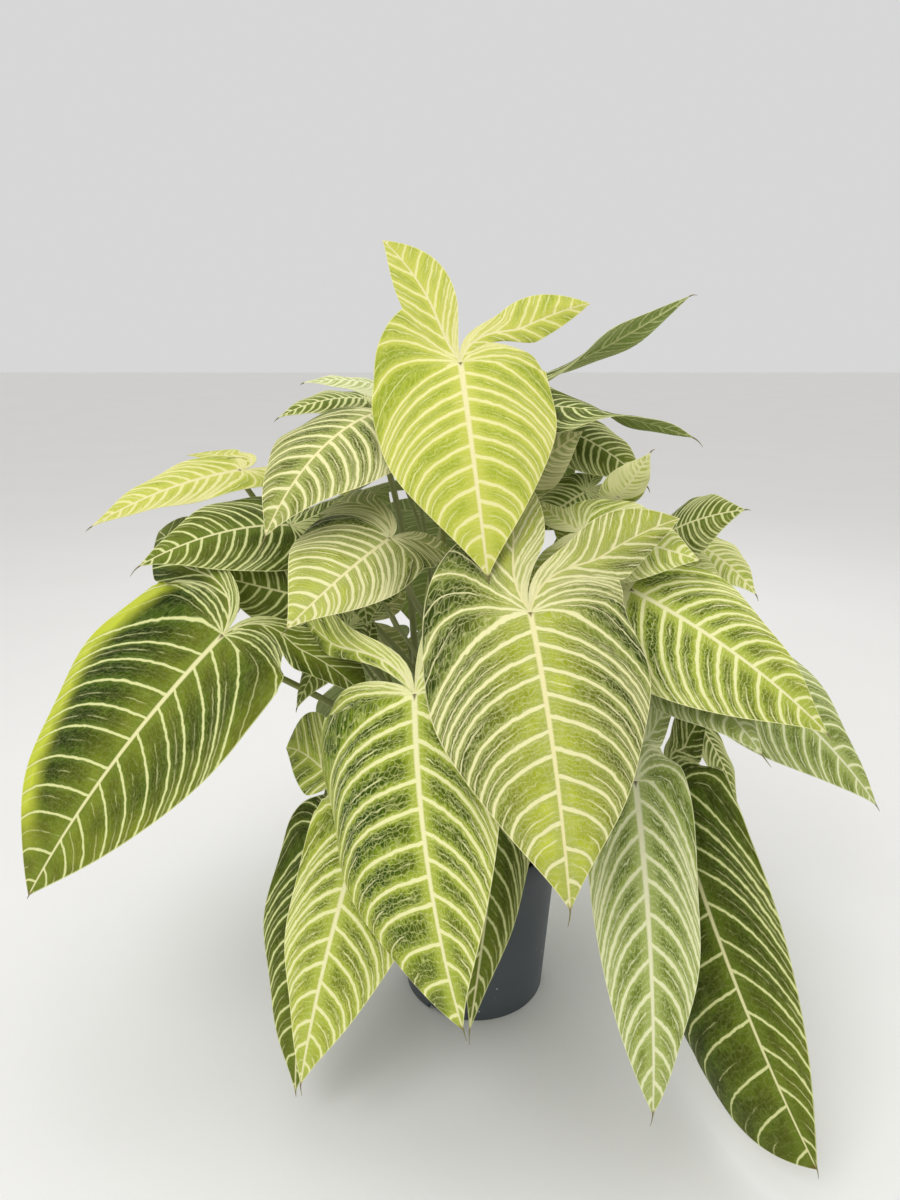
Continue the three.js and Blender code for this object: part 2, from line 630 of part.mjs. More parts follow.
// The soil, a little higher in the middle, with one hole for each stalk.
function soilMesh() {
  const bottom = FLOOR + GAP;
  const profile = [
    [0, bottom],
    [insideAt(bottom) - GAP, bottom],
    [insideAt(SOIL_TOP) - GAP, SOIL_TOP],
    [0.5 * RIM_RADIUS, SOIL_TOP + 0.7 * SOIL_CROWN],
    [0, SOIL_TOP + SOIL_CROWN],
  ];
  let soil = solid(turned(profile, POT_SIDES));
  for (const line of LEAVES) {
    const leaf = { ...PLAIN, ...line };
    const [x, y] = leaf.root;
    const floor = new THREE.Vector3(x, y, SOIL_TOP - SUNK - HOLE_FLOOR);
    const sky = new THREE.Vector3(x, y, SOIL_TOP + SOIL_CROWN + 5);
    const radius = leaf.stalk[1] + GAP / Math.cos(Math.PI / leaf.rows.sides);
    const hole = sweep([floor, new THREE.Vector3(x, y, SOIL_TOP), sky], radius, radius, leaf.rows.sides);
    soil = soil.subtract(solid(hole));
  }
  return named("soil", geometryOf(soil), "#3a2a1c", 0.95);
}

const group = new THREE.Group();
group.name = "potted_xanthosoma";
group.add(potMesh(), soilMesh());
for (const line of LEAVES) group.add(leafMesh(line));

export default group;
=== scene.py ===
# %% [markdown]
# # A potted arrow-leaf house plant
# The real thing is a nursery pot of soil with forty arrow-shaped leaves on slender stalks.
# The CAD model fixes where every piece is and how large it is. This lesson grows finer leaves
# on the same bent shapes, draws their veins with shader nodes, and dresses the pot and the soil.
# Blender works in metres; the plant's own measures are in millimetres, so MM turns one into
# the other. The box of the CAD model is kept.

# %% Load the fixed frame
import math

import bpy
import numpy as np
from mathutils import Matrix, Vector


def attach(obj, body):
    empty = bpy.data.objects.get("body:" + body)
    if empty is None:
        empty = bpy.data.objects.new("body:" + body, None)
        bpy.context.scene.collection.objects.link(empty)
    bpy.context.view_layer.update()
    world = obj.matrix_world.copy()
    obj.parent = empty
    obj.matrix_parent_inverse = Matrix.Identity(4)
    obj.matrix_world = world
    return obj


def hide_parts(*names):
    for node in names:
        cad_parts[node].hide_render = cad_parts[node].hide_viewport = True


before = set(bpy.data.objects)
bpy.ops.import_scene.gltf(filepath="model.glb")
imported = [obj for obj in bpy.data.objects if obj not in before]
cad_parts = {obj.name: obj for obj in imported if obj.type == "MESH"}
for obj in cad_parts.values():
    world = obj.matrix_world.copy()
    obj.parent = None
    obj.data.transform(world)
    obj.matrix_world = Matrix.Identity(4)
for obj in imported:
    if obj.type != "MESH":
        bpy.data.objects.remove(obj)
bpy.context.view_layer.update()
MM = 0.001
scene = bpy.context.scene
print("pieces in the frame:", len(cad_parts))

# %% [markdown]
# ## The camera
# The photograph was taken from about a metre away with a short lens, looking a little down.
# The place and the tilt were worked out from the ellipses of the pot's rim and foot.
# The lens is given for the long side of an upright 900 by 1200 picture.

# %% Set up the camera
EYE = Vector((-0.0316, -1.011, 0.832))
LOOKING_DOWN = math.radians(17.5)
FOCAL_PIXELS, PICTURE_PIXELS, SENSOR = 923, 1200, 36

lens = bpy.data.cameras.new("camera")
lens.sensor_fit = "VERTICAL"
lens.sensor_height = SENSOR
lens.lens = FOCAL_PIXELS / PICTURE_PIXELS * SENSOR
camera = bpy.data.objects.new("camera", lens)
camera.location = EYE
camera.rotation_euler = (math.pi / 2 - LOOKING_DOWN, 0, 0)
scene.collection.objects.link(camera)
scene.camera = camera
print("lens", round(lens.lens, 1), "mm")

# %% [markdown]
# ## Studio light
# The photograph has soft light from the front and above, and a white ground.
# A pale world lights everything evenly. Two large lamps, at the front left and above, give the
# leaves their sheen and soft shadows. A weak one at the right lifts the shaded leaves, and one
# behind draws a light edge round them. The lamps look at the middle of the plant.
# The plain view transform keeps the colours of the materials as they were mixed.

# %% Light the studio
WORLD_STRENGTH = 0.68
MIDDLE = Vector((0, 0, 0.45))
LAMPS = [
    ("key_lamp", (-0.9, -1.7, 2.1), 1.2, 21), ("side_lamp", (1.9, -0.6, 1.3), 1.0, 2),
    ("back_lamp", (0.3, 1.9, 1.8), 1.4, 6), ("top_lamp", (0.1, -0.1, 2.6), 1.6, 9),
]

scene.view_settings.view_transform = "Standard"
world = bpy.data.worlds.new("studio")
world.use_nodes = True
background = world.node_tree.nodes["Background"].inputs
background["Color"].default_value = (1, 1, 1, 1)
background["Strength"].default_value = WORLD_STRENGTH
scene.world = world
for name, place, size, watts in LAMPS:
    light = bpy.data.lights.new(name, "AREA")
    light.size = size
    light.energy = watts
    lamp = bpy.data.objects.new(name, light)
    lamp.location = place
    lamp.rotation_euler = (MIDDLE - Vector(place)).to_track_quat("-Z", "Y").to_euler()
    scene.collection.objects.link(lamp)
print("lamps:", [lamp[0] for lamp in LAMPS])

# %% [markdown]
# ## Writing shader nodes as sums
# A material made of nodes is easier to read as a formula. The class below wraps the output
# of a node, so that + - * / between wrapped outputs add Math nodes. Any other node comes from
# one method, which takes the node's type, its inputs and its settings.

# %% Wrap a node's output
def adds_math(operation, flipped=False):
    """An operator that adds a Math node; flipped puts the other value first, as 1 - mask needs."""
    def operator(self, other):
        pair = (other, self) if flipped else (self, other)
        return self.shader.node("Math", dict(enumerate(pair)), operation=operation)

    return operator


class Value:
    """An output of a node, ready for sums."""

    def __init__(self, shader, output):
        self.shader = shader
        self.output = output

    __add__ = __radd__ = adds_math("ADD")
    __sub__ = adds_math("SUBTRACT")
    __rsub__ = adds_math("SUBTRACT", flipped=True)
    __mul__ = __rmul__ = adds_math("MULTIPLY")
    __truediv__ = adds_math("DIVIDE")
    __rtruediv__ = adds_math("DIVIDE", flipped=True)


def paint(code):
    """A colour as painters write it, such as #8fa36a, as the linear numbers Blender wants."""
    parts = [int(code[i:i + 2], 16) / 255 for i in (1, 3, 5)]
    return (*(c / 12.92 if c < 0.04 else ((c + 0.055) / 1.055) ** 2.4 for c in parts), 1.0)


class Shader:
    """A material under construction."""

    def __init__(self, name):
        self.material = bpy.data.materials.new(name)
        self.material.use_nodes = True
        self.tree = self.material.node_tree
        self.surface = self.tree.nodes["Principled BSDF"]

    def node(self, kind, inputs=None, output=0, **settings):
        made = self.tree.nodes.new("ShaderNode" + kind)
        for name, value in settings.items():
            setattr(made, name, value)
        for key, value in (inputs or {}).items():
            if isinstance(value, Value):
                self.tree.links.new(value.output, made.inputs[key])
            else:
                made.inputs[key].default_value = value
        return Value(self, made.outputs[output])

    def layer(self, name):
        """The two numbers that a mesh keeps in the UV layer of this name."""
        uv = self.node("UVMap", uv_map=name)
        return [self.node("SeparateXYZ", {0: uv}, output=i) for i in (0, 1)]

    def point(self, x, y, z=0.0):
        return self.node("CombineXYZ", {0: x, 1: y, 2: z})

    def clamp(self, value):
        return self.node("Clamp", {0: value})

    def rise(self, value, low, high):
        """Smoothly from 0 where value is low to 1 where it is high."""
        inputs = {"Value": value, "From Min": low, "From Max": high}
        return self.node("MapRange", inputs, interpolation_type="SMOOTHSTEP")

    def noise(self, point, scale, detail=2.0, rough=0.5):
        inputs = {"Vector": point, "Scale": scale, "Detail": detail, "Roughness": rough}
        return self.node("TexNoise", inputs)

    def mix(self, amount, *colours):
        """The second colour laid on the first. Sockets 6 and 7 of a colour mix are its colours."""
        under, over = (paint(c) if isinstance(c, str) else c for c in colours)
        return self.node("Mix", {0: amount, 6: under, 7: over}, output=2, data_type="RGBA")

    def coats(self, colour, *coats):
        """A colour with coats of others laid on it in turn, each by its own amount."""
        for amount, over in coats:
            colour = self.mix(amount, colour, over)
        return colour

    def bump(self, height, metres, strength):
        inputs = {"Height": height, "Distance": metres, "Strength": strength}
        return self.node("Bump", inputs)

    def finish(self, **sockets):
        """Links or sets sockets of the surface, named as in Blender but with _ for spaces."""
        for name, value in sockets.items():
            socket = self.surface.inputs[name.replace("_", " ")]
            if isinstance(value, Value):
                self.tree.links.new(value.output, socket)
            else:
                socket.default_value = value
        return self.material


print("a mid green is", [round(c, 3) for c in paint("#7a9a3c")])

# %% [markdown]
# ## The floor
# A wide pale floor, matt, with the faintest unevenness, so that the pot throws a soft shadow.
# It isn't part of the object.

# %% Lay the floor
def floor_finish():
    shader = Shader("studio_floor")
    place = shader.node("TexCoord", output=3)
    tone = shader.noise(place, 3.0, 3.0)
    colour = shader.mix(tone, "#f2f1ee", "#f7f6f4")
    return shader.finish(Base_Color=colour, Roughness=0.85)


def new_object(name, points, faces):
    mesh = bpy.data.meshes.new(name)
    points = [tuple(map(float, point)) for point in points]
    mesh.from_pydata(points, [], [tuple(map(int, face)) for face in faces])
    thing = bpy.data.objects.new(name, mesh)
    scene.collection.objects.link(thing)
    return thing


FLOOR_HALF, FLOOR_HEIGHT = 12.0, -0.0003
corners = [(-FLOOR_HALF, -FLOOR_HALF), (FLOOR_HALF, -FLOOR_HALF), (FLOOR_HALF, FLOOR_HALF),
           (-FLOOR_HALF, FLOOR_HALF)]
floor = new_object("floor", [(x, y, FLOOR_HEIGHT) for x, y in corners], [(0, 1, 2, 3)])
floor.data.materials.append(floor_finish())
print("floor laid,", 2 * FLOOR_HALF, "m wide")

# %% [markdown]
# ## The leaves, one by one
# Each leaf is posed by the point where its stalk meets the blade (the collar), its tip, and
# the way its face looks. Then come its tone and the place of its foot in the pot. Push and lean
# shape the stalk. Angles say how the leaf bends: bend rolls the midrib down, arch rounds the
# blade across, twist turns it about the midrib, and lift, curl and spread move the two lobes
# behind the collar. Wide and lobe scale the blade's width and its lobes, waist draws the notch
# in to the collar, and full rounds the margin out near the tip. A pair is for left and right.
# These are the numbers of the CAD source, in millimetres and degrees, because a finer leaf has
# to lie exactly where its solid lies. Look is the tone it is painted in, where that is another.

# %% List the leaves
PLAIN = dict(push=(0, 0), lean=0.5, bend=30, arch=30, lobe_arch=(None, None), twist=0, wide=1,
             lobe=1, lift=(0, 0), curl=(0, 0), spread=(0, 0), waist=(0, 0), full=(0, 0),
             rows="large", stalk=(3, 5), look=None)
SMALL = dict(rows="small", stalk=(1.8, 3))
PHASE_STEP, PHASE_ROUND = 1.7, 6.28
LEAVES = []


def add_leaf(name, collar, tip, face, tone, root, **bends):
    """Lists a leaf. Its phase shifts the ripple of its margin and the draw of its veins."""
    phase = round(PHASE_STEP * len(LEAVES) % PHASE_ROUND, 1)
    LEAVES.append(dict(PLAIN, name="leaf_" + name, collar=collar, tip=tip, face=face, tone=tone,
                       root=root, phase=phase) | bends)


add_leaf("crown", (-22, -130, 785), (2, -230, 606), (0, 15), "lime", (0, -77), bend=35,
         lobe_arch=(10, 5), wide=(1.06, 1), lobe=1.05, lift=(25, 15), curl=(0, -10),
         spread=(-6, 38), waist=(0, 0.5))
add_leaf("centre", (38, -250, 581), (65, -380, 371), (6, 20), "grey", (14, -61), push=(-70, 10),
         lean=0.3, bend=35, arch=28, lobe_arch=(None, 5), wide=0.98, lobe=1.05, lift=(10, 25),
         spread=(-22, 34))
add_leaf("left_big", (-251, -171, 532), (-437, -250, 294), (-15, 35), "dark", (-59, -45),
         push=(0, 15), lean=0.9, arch=25, wide=(0.98, 0.64), lobe=1.05, lift=(15, -35),
         spread=(52, 40), waist=(0.2, 0.2), full=(0.4, 0.2))
add_leaf("front_low", (-63, -259, 508), (-20, -352, 228), (-30, 20), "vivid", (-14, -53),
         lean=0.3, arch=35, wide=(1.25, 0.6), lobe=0.95, lift=(30, -10), spread=(34, 12),
         waist=(0.9, 0), full=(0.15, 0))
add_leaf("low_left", (-116, -207, 350), (-180, -283, 98), (-15, 20), "vivid", (-26, -63), arch=35,
         wide=(0.5, 0.66), lobe=(1.5, 0.6), spread=(50, 0), waist=(0.3, 0))
add_leaf("low_left_b", (-156, -160, 299), (-194, -242, 47), (-25, 20), "dark", (-37, -45),
         arch=35, wide=0.62, lobe=0.6)
add_leaf("right_pale", (147, -215, 398), (159, -330, 110), (5, 20), "pale", (39, -39), arch=35,
         wide=(0.4, 0.42), lobe=0.7, spread=(0, 25), full=(0.3, 0.3))
add_leaf("right_dark", (198, -160, 352), (316, -340, 55), (-46, 20), "dark", (39, -60), bend=22,
         arch=62, wide=(1.1, 0.42), lobe=0.7, lift=(-10, 5), spread=(0, 35), full=(1, 0.3))
add_leaf("right_mid", (141, -165, 576), (320, -232, 455), (20, 35), "grey", (18, -38), bend=35,
         wide=(0.85, 0.78), lobe=0.9, look="vivid")
add_leaf("right_mid_b", (169, -120, 508), (258, -240, 438), (20, 45), "pale", (46, -10), bend=35,
         wide=0.9, lobe=0.9, lift=(5, -25))
add_leaf("right_far", (265, 18, 458), (472, -46, 273), (30, 35), "pale", (75, -6), bend=35,
         wide=0.7)
add_leaf("mid_left", (-88, -163, 626), (-171, -270, 572), (-20, 5), "grey", (14, 56), arch=35,
         wide=(1.25, 0.75), lobe=1.4, lift=(10, -20), spread=(40, 0))
add_leaf("upper_left", (-105, -95, 735), (-200, -194, 634), (-25, 35), "pale", (-71, 28),
         lean=0.7, bend=60, arch=35, wide=(1.1, 0.95), lift=(-20, 0), spread=(20, 0), look="grey")
add_leaf("far_left", (-258, -16, 666), (-400, -87, 619), (-25, 45), "lime", (-64, -21),
         wide=(0.6, 0.45), lobe=1.3, lift=(20, 0), spread=(75, 10), waist=(0.6, 0))
add_leaf("top_twist", (28, 15, 748), (211, -31, 845), (-60, 45), "dark", (12, 72), push=(25, 30),
         bend=-15, arch=45, twist=-100, wide=0.4, lobe=0.6)
add_leaf("top_fold", (53, -80, 741), (201, -124, 715), (-10, 60), "dark", (-26, 62),
         push=(45, 30), lean=0.6, bend=25, arch=25, twist=-75, wide=0.75, lobe=0.5)
add_leaf("top_grey", (34, -94, 670), (97, -113, 720), (-10, 10), "grey", (-28, 40), bend=20,
         wide=0.9, **SMALL)
add_leaf("top_dark", (88, -40, 712), (170, -80, 659), (20, 40), "dark", (53, 58), lean=0.6,
         bend=40, wide=0.9, lobe=0.7, **SMALL)
add_leaf("top_bright", (133, -118, 656), (158, -138, 703), (10, 10), "vivid", (15, 19),
         push=(30, 20), lean=0.2, bend=20, wide=0.9, **SMALL)
add_leaf("inner_bright", (97, -148, 627), (202, -178, 608), (10, 30), "vivid", (-80, 21), bend=40,
         lobe=0.95, lift=(20, 0), spread=(30, 0), **SMALL)
add_leaf("inner_dark", (107, -74, 653), (47, -104, 618), (-10, 30), "dark", (13, 41), **SMALL)
add_leaf("side_dark", (201, -70, 612), (256, -128, 646), (0, 40), "dark", (-47, -69),
         push=(0, 10), lean=1.3, wide=1.1, lobe=0.95, lift=(15, 0), **SMALL)
add_leaf("side_bright", (189, -50, 580), (247, -110, 564), (10, 40), "vivid", (63, -7), bend=40,
         **SMALL)
add_leaf("side_bright_b", (233, -21, 589), (291, -82, 545), (20, 40), "vivid", (26, -30),
         push=(-10, 5), lean=0.8, bend=40, lift=(-10, -5), **SMALL)
add_leaf("left_dark", (-125, 15, 739), (-214, -21, 722), (-20, 60), "dark", (-33, 75), bend=40,
         wide=0.7, **SMALL)
add_leaf("left_thin", (-93, -40, 754), (-178, -70, 762), (-20, 70), "pale", (-50, 35), wide=0.7,
         **SMALL)
add_leaf("behind_left", (-200, -60, 615), (-340, -130, 589), (-20, 40), "dark", (-41, -22),
         push=(45, 75), bend=50, wide=0.8, lobe=0.85, lift=(10, 5))
add_leaf("mid_dark", (-159, -76, 534), (-282, -101, 574), (-15, 20), "dark", (-60, 2),
         push=(10, 5), lean=0.4, wide=0.9, lift=(15, -5), **SMALL)
add_leaf("grey_left", (-147, 8, 484), (-281, -20, 479), (-15, 30), "grey", (-61, 45), lean=0.4,
         wide=0.8, lift=(0, -10), **SMALL)
add_leaf("under_left", (-118, -149, 600), (-111, -173, 540), (0, 20), "dark", (-12, 11), **SMALL)
add_leaf("hang_left", (-140, -109, 515), (-188, -148, 444), (-50, 20), "dark", (-16, -31),
         wide=0.9, lobe=0.9, **SMALL)
add_leaf("hang_right", (200, 2, 524), (214, -41, 391), (40, 20), "dark", (25, -16), wide=0.7,
         **SMALL)
add_leaf("right_tip", (244, -90, 395), (274, -140, 324), (40, 20), "dark", (60, -28),
         push=(50, 25), wide=0.6, **SMALL)
add_leaf("back_crown", (25, 105, 695), (55, 230, 490), (170, 25), "lime", (-3, 57), bend=35,
         wide=0.95, lift=(-5, 10), spread=(20, 10))
add_leaf("back_mid", (-40, 160, 570), (-75, 300, 360), (190, 25), "grey", (-14, 35), bend=35,
         wide=0.95, lobe=0.85, spread=(10, 25))
add_leaf("back_right", (170, 115, 570), (310, 225, 430), (130, 30), "vivid", (40, 34), lean=0.9,
         bend=35, wide=0.9, lobe=0.95, spread=(0, 15))
add_leaf("back_far_left", (-170, 90, 610), (-320, 190, 440), (-130, 30), "grey", (-36, 15),
         bend=35, wide=0.9, lobe=0.8, spread=(15, 0))
add_leaf("back_low_right", (115, 175, 360), (190, 305, 130), (150, 25), "dark", (32, 55), arch=35,
         wide=0.75)
add_leaf("back_low_left", (-120, 180, 370), (-210, 300, 150), (-150, 25), "vivid", (-52, 56),
         arch=35, wide=0.8)
add_leaf("low_front", (20, -162, 382), (-13, -293, 173), (5, 20), "dark", (8, -30), lean=1,
         arch=35, wide=0.4, lobe=0.5, phase=2.9)
print("leaves:", len(LEAVES))

# %% [markdown]
# ## The flat outline
# Laid flat, half a leaf is a few curves: the front margin to the tip, the shoulder, and the
# two sides of the lobe. The numbers are in blade lengths, first along the midrib and then out
# to the side. Rows of points run from a rib out to the margin, like the leaf's own side veins.

# %% Draw half a leaf laid flat
WIDEST, TIP, NOTCH, LOBE_TIP = (0.17, 0.415), (1, 0), (-0.26, 0.235), (-0.56, 0.32)
SHOULDER = [NOTCH, (-0.2, 0.33), (-0.04, 0.41), WIDEST]
LOBE_OUTSIDE = [LOBE_TIP, (-0.5, 0.3), (-0.36, 0.29), NOTCH]
LOBE_INSIDE = [(0, 0), (-0.25, 0), (-0.5, -0.03), LOBE_TIP]
LOBE_RIB = [(0, 0), (-0.15, 0.07), (-0.36, 0.13), LOBE_TIP]
SHOULDER_SHARE = 0.72


def on_curve(curve, k):
    """Points of a cubic curve at the shares k of its run."""
    k = np.asarray(k, float)[:, None]
    a, b, c, d = (np.array(p, float) for p in curve)
    j = 1 - k
    return j**3 * a + 3 * j**2 * k * b + 3 * j * k**2 * c + k**3 * d


def front_margin(shares, full):
    """The margin from the last of the shoulder to the tip; full rounds it out near the tip."""
    curve = [WIDEST, (0.54, 0.42 + 0.15 * full), (0.8 + 0.1 * full, 0.1 + 0.3 * full), TIP]
    rest = on_curve(SHOULDER, SHOULDER_SHARE + np.linspace(0, 1, 9) * (1 - SHOULDER_SHARE))
    line = np.vstack([rest, on_curve(curve, np.linspace(0, 1, 60))[1:]])
    reach = np.concatenate([[0], np.cumsum(np.linalg.norm(np.diff(line, axis=0), axis=1))])
    at = np.asarray(shares) * reach[-1]
    return np.stack([np.interp(at, reach, line[:, i]) for i in (0, 1)], axis=1)


FAN_SPAN = 0.8
CAD_ROWS = {"large": (3, 2, 8), "small": (2, 1, 6)}
FINE_ROWS = {"large": (24, 12, 66), "small": (12, 7, 36)}
FINE_ACROSS = {"large": (28, 9), "small": (15, 5)}


def drawn_in(curve, *shares):
    """A curve with each of its four points drawn some way in to the collar."""
    return [(x * (1 - share), y * (1 - share)) for (x, y), share in zip(curve, shares)]


def flat_half(rows, waist=0, full=0):
    """Rows from rib to margin: their ends, how far along the leaf they are, and vein places."""
    shoulder = drawn_in(SHOULDER, waist, 0.5 * waist, 0, 0)
    lobe_outside = drawn_in(LOBE_OUTSIDE, 0, 0, 0.4 * waist, waist)
    lobe_rows, fan_rows, front_rows = FINE_ROWS[rows]
    lobe = np.linspace(0, 1, lobe_rows + 1)
    fan = np.linspace(0, 1, fan_rows + 1)[1:]
    front = np.linspace(0, 1, front_rows + 1)[1:]
    rib = np.vstack([
        on_curve(LOBE_RIB, 1 - lobe), np.zeros((fan_rows, 2)), np.stack([front, 0 * front], 1),
    ])
    margin = np.vstack([
        on_curve(lobe_outside, lobe**0.9), on_curve(shoulder, fan * SHOULDER_SHARE),
        front_margin(front, full),
    ])
    shares = CAD_ROWS[rows]
    along = np.concatenate([
        lobe * shares[0], shares[0] + fan * shares[1], shares[0] + shares[1] + front * shares[2],
    ]) / sum(shares)
    place = np.concatenate([-FAN_SPAN - (1 - lobe), -FAN_SPAN * (1 - fan), front])
    inner_rib = on_curve(LOBE_RIB, 1 - lobe)
    inner_margin = on_curve(LOBE_INSIDE, 1 - lobe)
    outer = (rib, margin, along, place)
    inner = (inner_rib, inner_margin, lobe * shares[0] / sum(shares), place[:lobe_rows + 1])
    return outer, inner


half = flat_half("large")
print("rows in a large leaf:", len(half[0][0]), "outside and", len(half[1][0]), "inside the lobe")

# %% [markdown]
# ## Bending the sheet
# A leaf is a flat sheet bent in one direction at a time. The midrib and the two lobe ribs are
# walked in small steps, turning as they go. Then each point swings out from its rib on a round
# arch, the blade may twist, and the margin gets a slow ripple. Behind the collar the lobes are
# scaled and swung first. All steps fade in smoothly, so that no crease shows.

# %% Bend a leaf as its solid is bent
MIDRIB_STEPS, LOBE_STEPS, LOBE_REACH = 48, 32, 0.8
WAVE, WAVES = 0.012, 3.5
ARCH_SPAN = 0.4


def walk(length, count, turn):
    """A rib walked from the collar: reach, place ahead, place up and direction after each step."""
    reach = np.linspace(0, length, count + 1)
    angle = turn(reach)
    middle = (angle[1:] + angle[:-1]) / 2
    step = length / count
    ahead = np.concatenate([[0], np.cumsum(step * np.cos(middle))])
    up = np.concatenate([[0], np.cumsum(step * np.sin(middle))])
    return reach, ahead, up, angle


def unit(v):
    return v / np.linalg.norm(v, axis=-1, keepdims=True)


def pose(line):
    """The leaf's own axes, its real length and its bent ribs."""
    leaf = dict(line)
    leaf["from"] = np.array(leaf["collar"], float)
    chord = np.array(leaf["tip"], float) - leaf["from"]
    azimuth, elevation = np.radians(leaf["face"])
    toward = np.array([
        math.sin(azimuth) * math.cos(elevation), -math.cos(azimuth) * math.cos(elevation),
        math.sin(elevation),
    ])
    leaf["ahead"] = unit(chord)
    leaf["up"] = unit(toward - toward.dot(leaf["ahead"]) * leaf["ahead"])
    leaf["right"] = np.cross(leaf["up"], leaf["ahead"])
    bend = np.radians(leaf["bend"])
    straight = walk(1, MIDRIB_STEPS, lambda s: -bend * s)
    start = -math.atan2(straight[2][-1], straight[1][-1])
    leaf["length"] = np.linalg.norm(chord) / math.hypot(straight[1][-1], straight[2][-1])
    leaf["midrib"] = walk(1, MIDRIB_STEPS, lambda s: start - bend * s)
    leaf["lobes"] = [
        walk(LOBE_REACH, LOBE_STEPS, lambda q, lift=lift, roll=roll: start
             - np.radians(lift) * np.clip(q / 0.12, 0, 1) - np.radians(roll) * q / 0.5)
        for lift, roll in zip(leaf["lift"], leaf["curl"])
    ]
    return leaf


def smooth(x):
    k = np.clip(x, 0, 1)
    return k * k * (3 - 2 * k)


def for_side(value, side):
    """The width or lobe size on one side, given as one number for both or as (left, right)."""
    return np.ravel(value)[0 if side < 0 else -1]


def on_blade(leaf, flat, side, along, across):
    """Where points of the flat leaf lie in space, and the direction out of the blade there."""
    i = 0 if side < 0 else 1
    flat_s, flat_t = flat[..., 0], flat[..., 1]
    in_lobe = smooth(-flat_s / 0.3)
    size = 1 + (for_side(leaf["lobe"], side) - 1) * in_lobe
    swung = np.radians(leaf["spread"][i]) * in_lobe
    s = size * (flat_s * np.cos(swung) + flat_t * np.sin(swung))
    t = size * (flat_t * np.cos(swung) - flat_s * np.sin(swung))
    wide = for_side(leaf["wide"], side)
    narrow = math.sqrt(wide)
    t = t * (narrow + (wide - narrow) * smooth((s + 0.5) / 0.4))
    front, back = leaf["midrib"], leaf["lobes"][i]
    ahead = np.interp(s, front[0], front[1])
    rise = np.interp(s, front[0], front[2])
    turn = np.interp(s, front[0], front[3])
    behind = s < 0
    ahead = np.where(behind, -np.interp(-s, back[0], back[1]), ahead)
    rise = np.where(behind, -np.interp(-s, back[0], back[2]), rise)
    turn = np.where(behind, np.interp(-s, back[0], back[3]), turn)[..., None]
    up = np.cos(turn) * leaf["up"] - np.sin(turn) * leaf["ahead"]
    twist = np.radians(leaf["twist"]) * np.clip(s, 0, 1)[..., None]
    right = np.cos(twist) * leaf["right"] + np.sin(twist) * up
    up = np.cos(twist) * up - np.sin(twist) * leaf["right"]
    arch = leaf["arch"]
    lobe_arch = arch if leaf["lobe_arch"][i] is None else leaf["lobe_arch"][i]
    bow = np.radians(arch + (lobe_arch - arch) * np.clip(-s / 0.25, 0, 1)) / ARCH_SPAN
    angle = (bow * t)[..., None]
    bow = bow[..., None]
    at = leaf["from"] + leaf["length"] * (
        ahead[..., None] * leaf["ahead"] + rise[..., None] * leaf["up"]
        + side * np.sin(angle) / bow * right + (np.cos(angle) - 1) / bow * up)
    out = np.cos(angle) * up + side * np.sin(angle) * right
    fade = 4 * along * (1 - along) * np.clip(np.hypot(flat_s, flat_t) / 0.2, 0, 1)
    ripple = np.sin(2 * np.pi * WAVES * along + leaf["phase"] + side)
    lift = WAVE * leaf["length"] * across**2 * fade * ripple
    return at + lift[..., None] * out, out


crown = pose(LEAVES[0])
print("the crown leaf is", round(crown["length"]), "mm from collar to tip")

# %% [markdown]
# ## Where the veins run
# The side veins leave the midrib almost square and then sweep forward along the margin. Behind
# the collar they fan out, and in the lobes they bow back. Instead of drawing each vein, every
# point of the leaf gets a vein number: the veins lie where it is whole. The shader can then
# draw veins of any width, halos round them and finer veins between them, sharp at any size.
# The spacing of the veins in millimetres is kept too, so that widths come out in millimetres.

# %% Number the veins
VEINS_AHEAD, VEINS_IN_FAN, VEINS_IN_LOBE, VEINS_INSIDE = 13, 3, 6.5, 7.5


def vein_number(place, across, side, phase):
    """Outside the lobes' ribs: whole on each side vein, growing from the lobe's tip to the tip."""
    pull = np.interp(place, [-1.8, -0.8, -0.4, 0, 1], [0, 0.25, 0.35, 0.42, 0])
    swept = (0.10 * across + 0.12 * across**2 + 0.2 * across**4) / 0.42
    straight = 1 - smooth(1 + place / FAN_SPAN)
    level = place - pull * (swept + (across - swept) * straight)
    ahead = VEINS_AHEAD * level * (1 - 0.2 * level)
    fan = VEINS_IN_FAN * level
    behind = -VEINS_IN_FAN * FAN_SPAN + VEINS_IN_LOBE * (level + FAN_SPAN)
    number = np.where(level > 0, ahead, np.where(level > -FAN_SPAN, fan, behind))
    number = number + 0.4 * (side > 0) * smooth((level + 0.2) / 0.4)
    uneven = 0.08 * np.sin(2.3 * number + phase + side)
    return number + uneven + 0.04 * np.sin(5.1 * number + 2 * phase)


def inner_vein_number(place, across, side, phase):
    lobe = -FAN_SPAN - place
    level = lobe - 0.5 * across * (1 - lobe)
    uneven = 0.15 * np.sin(3 * level * VEINS_INSIDE + phase)
    return VEINS_INSIDE * level + 0.3 * side + uneven


def spacing_of(at, number):
    """Millimetres between neighbouring veins at each point of a grid."""
    down, over = np.gradient(at, axis=0), np.gradient(at, axis=1)
    rise_down, rise_over = np.gradient(number, axis=0), np.gradient(number, axis=1)
    dd, oo, do = (down * down).sum(-1), (over * over).sum(-1), (down * over).sum(-1)
    area = np.maximum(dd * oo - do**2, 1e-6)
    slope = (oo * rise_down**2 - 2 * do * rise_down * rise_over + dd * rise_over**2) / area
    return np.clip(1 / np.sqrt(np.maximum(slope, 1e-8)), 2, 45)


print("vein numbers run from", round(float(vein_number(np.array(-1.8), np.array(0.0), 1, 0)), 1),
      "to", round(float(vein_number(np.array(1.0), np.array(0.0), 1, 0)), 1))

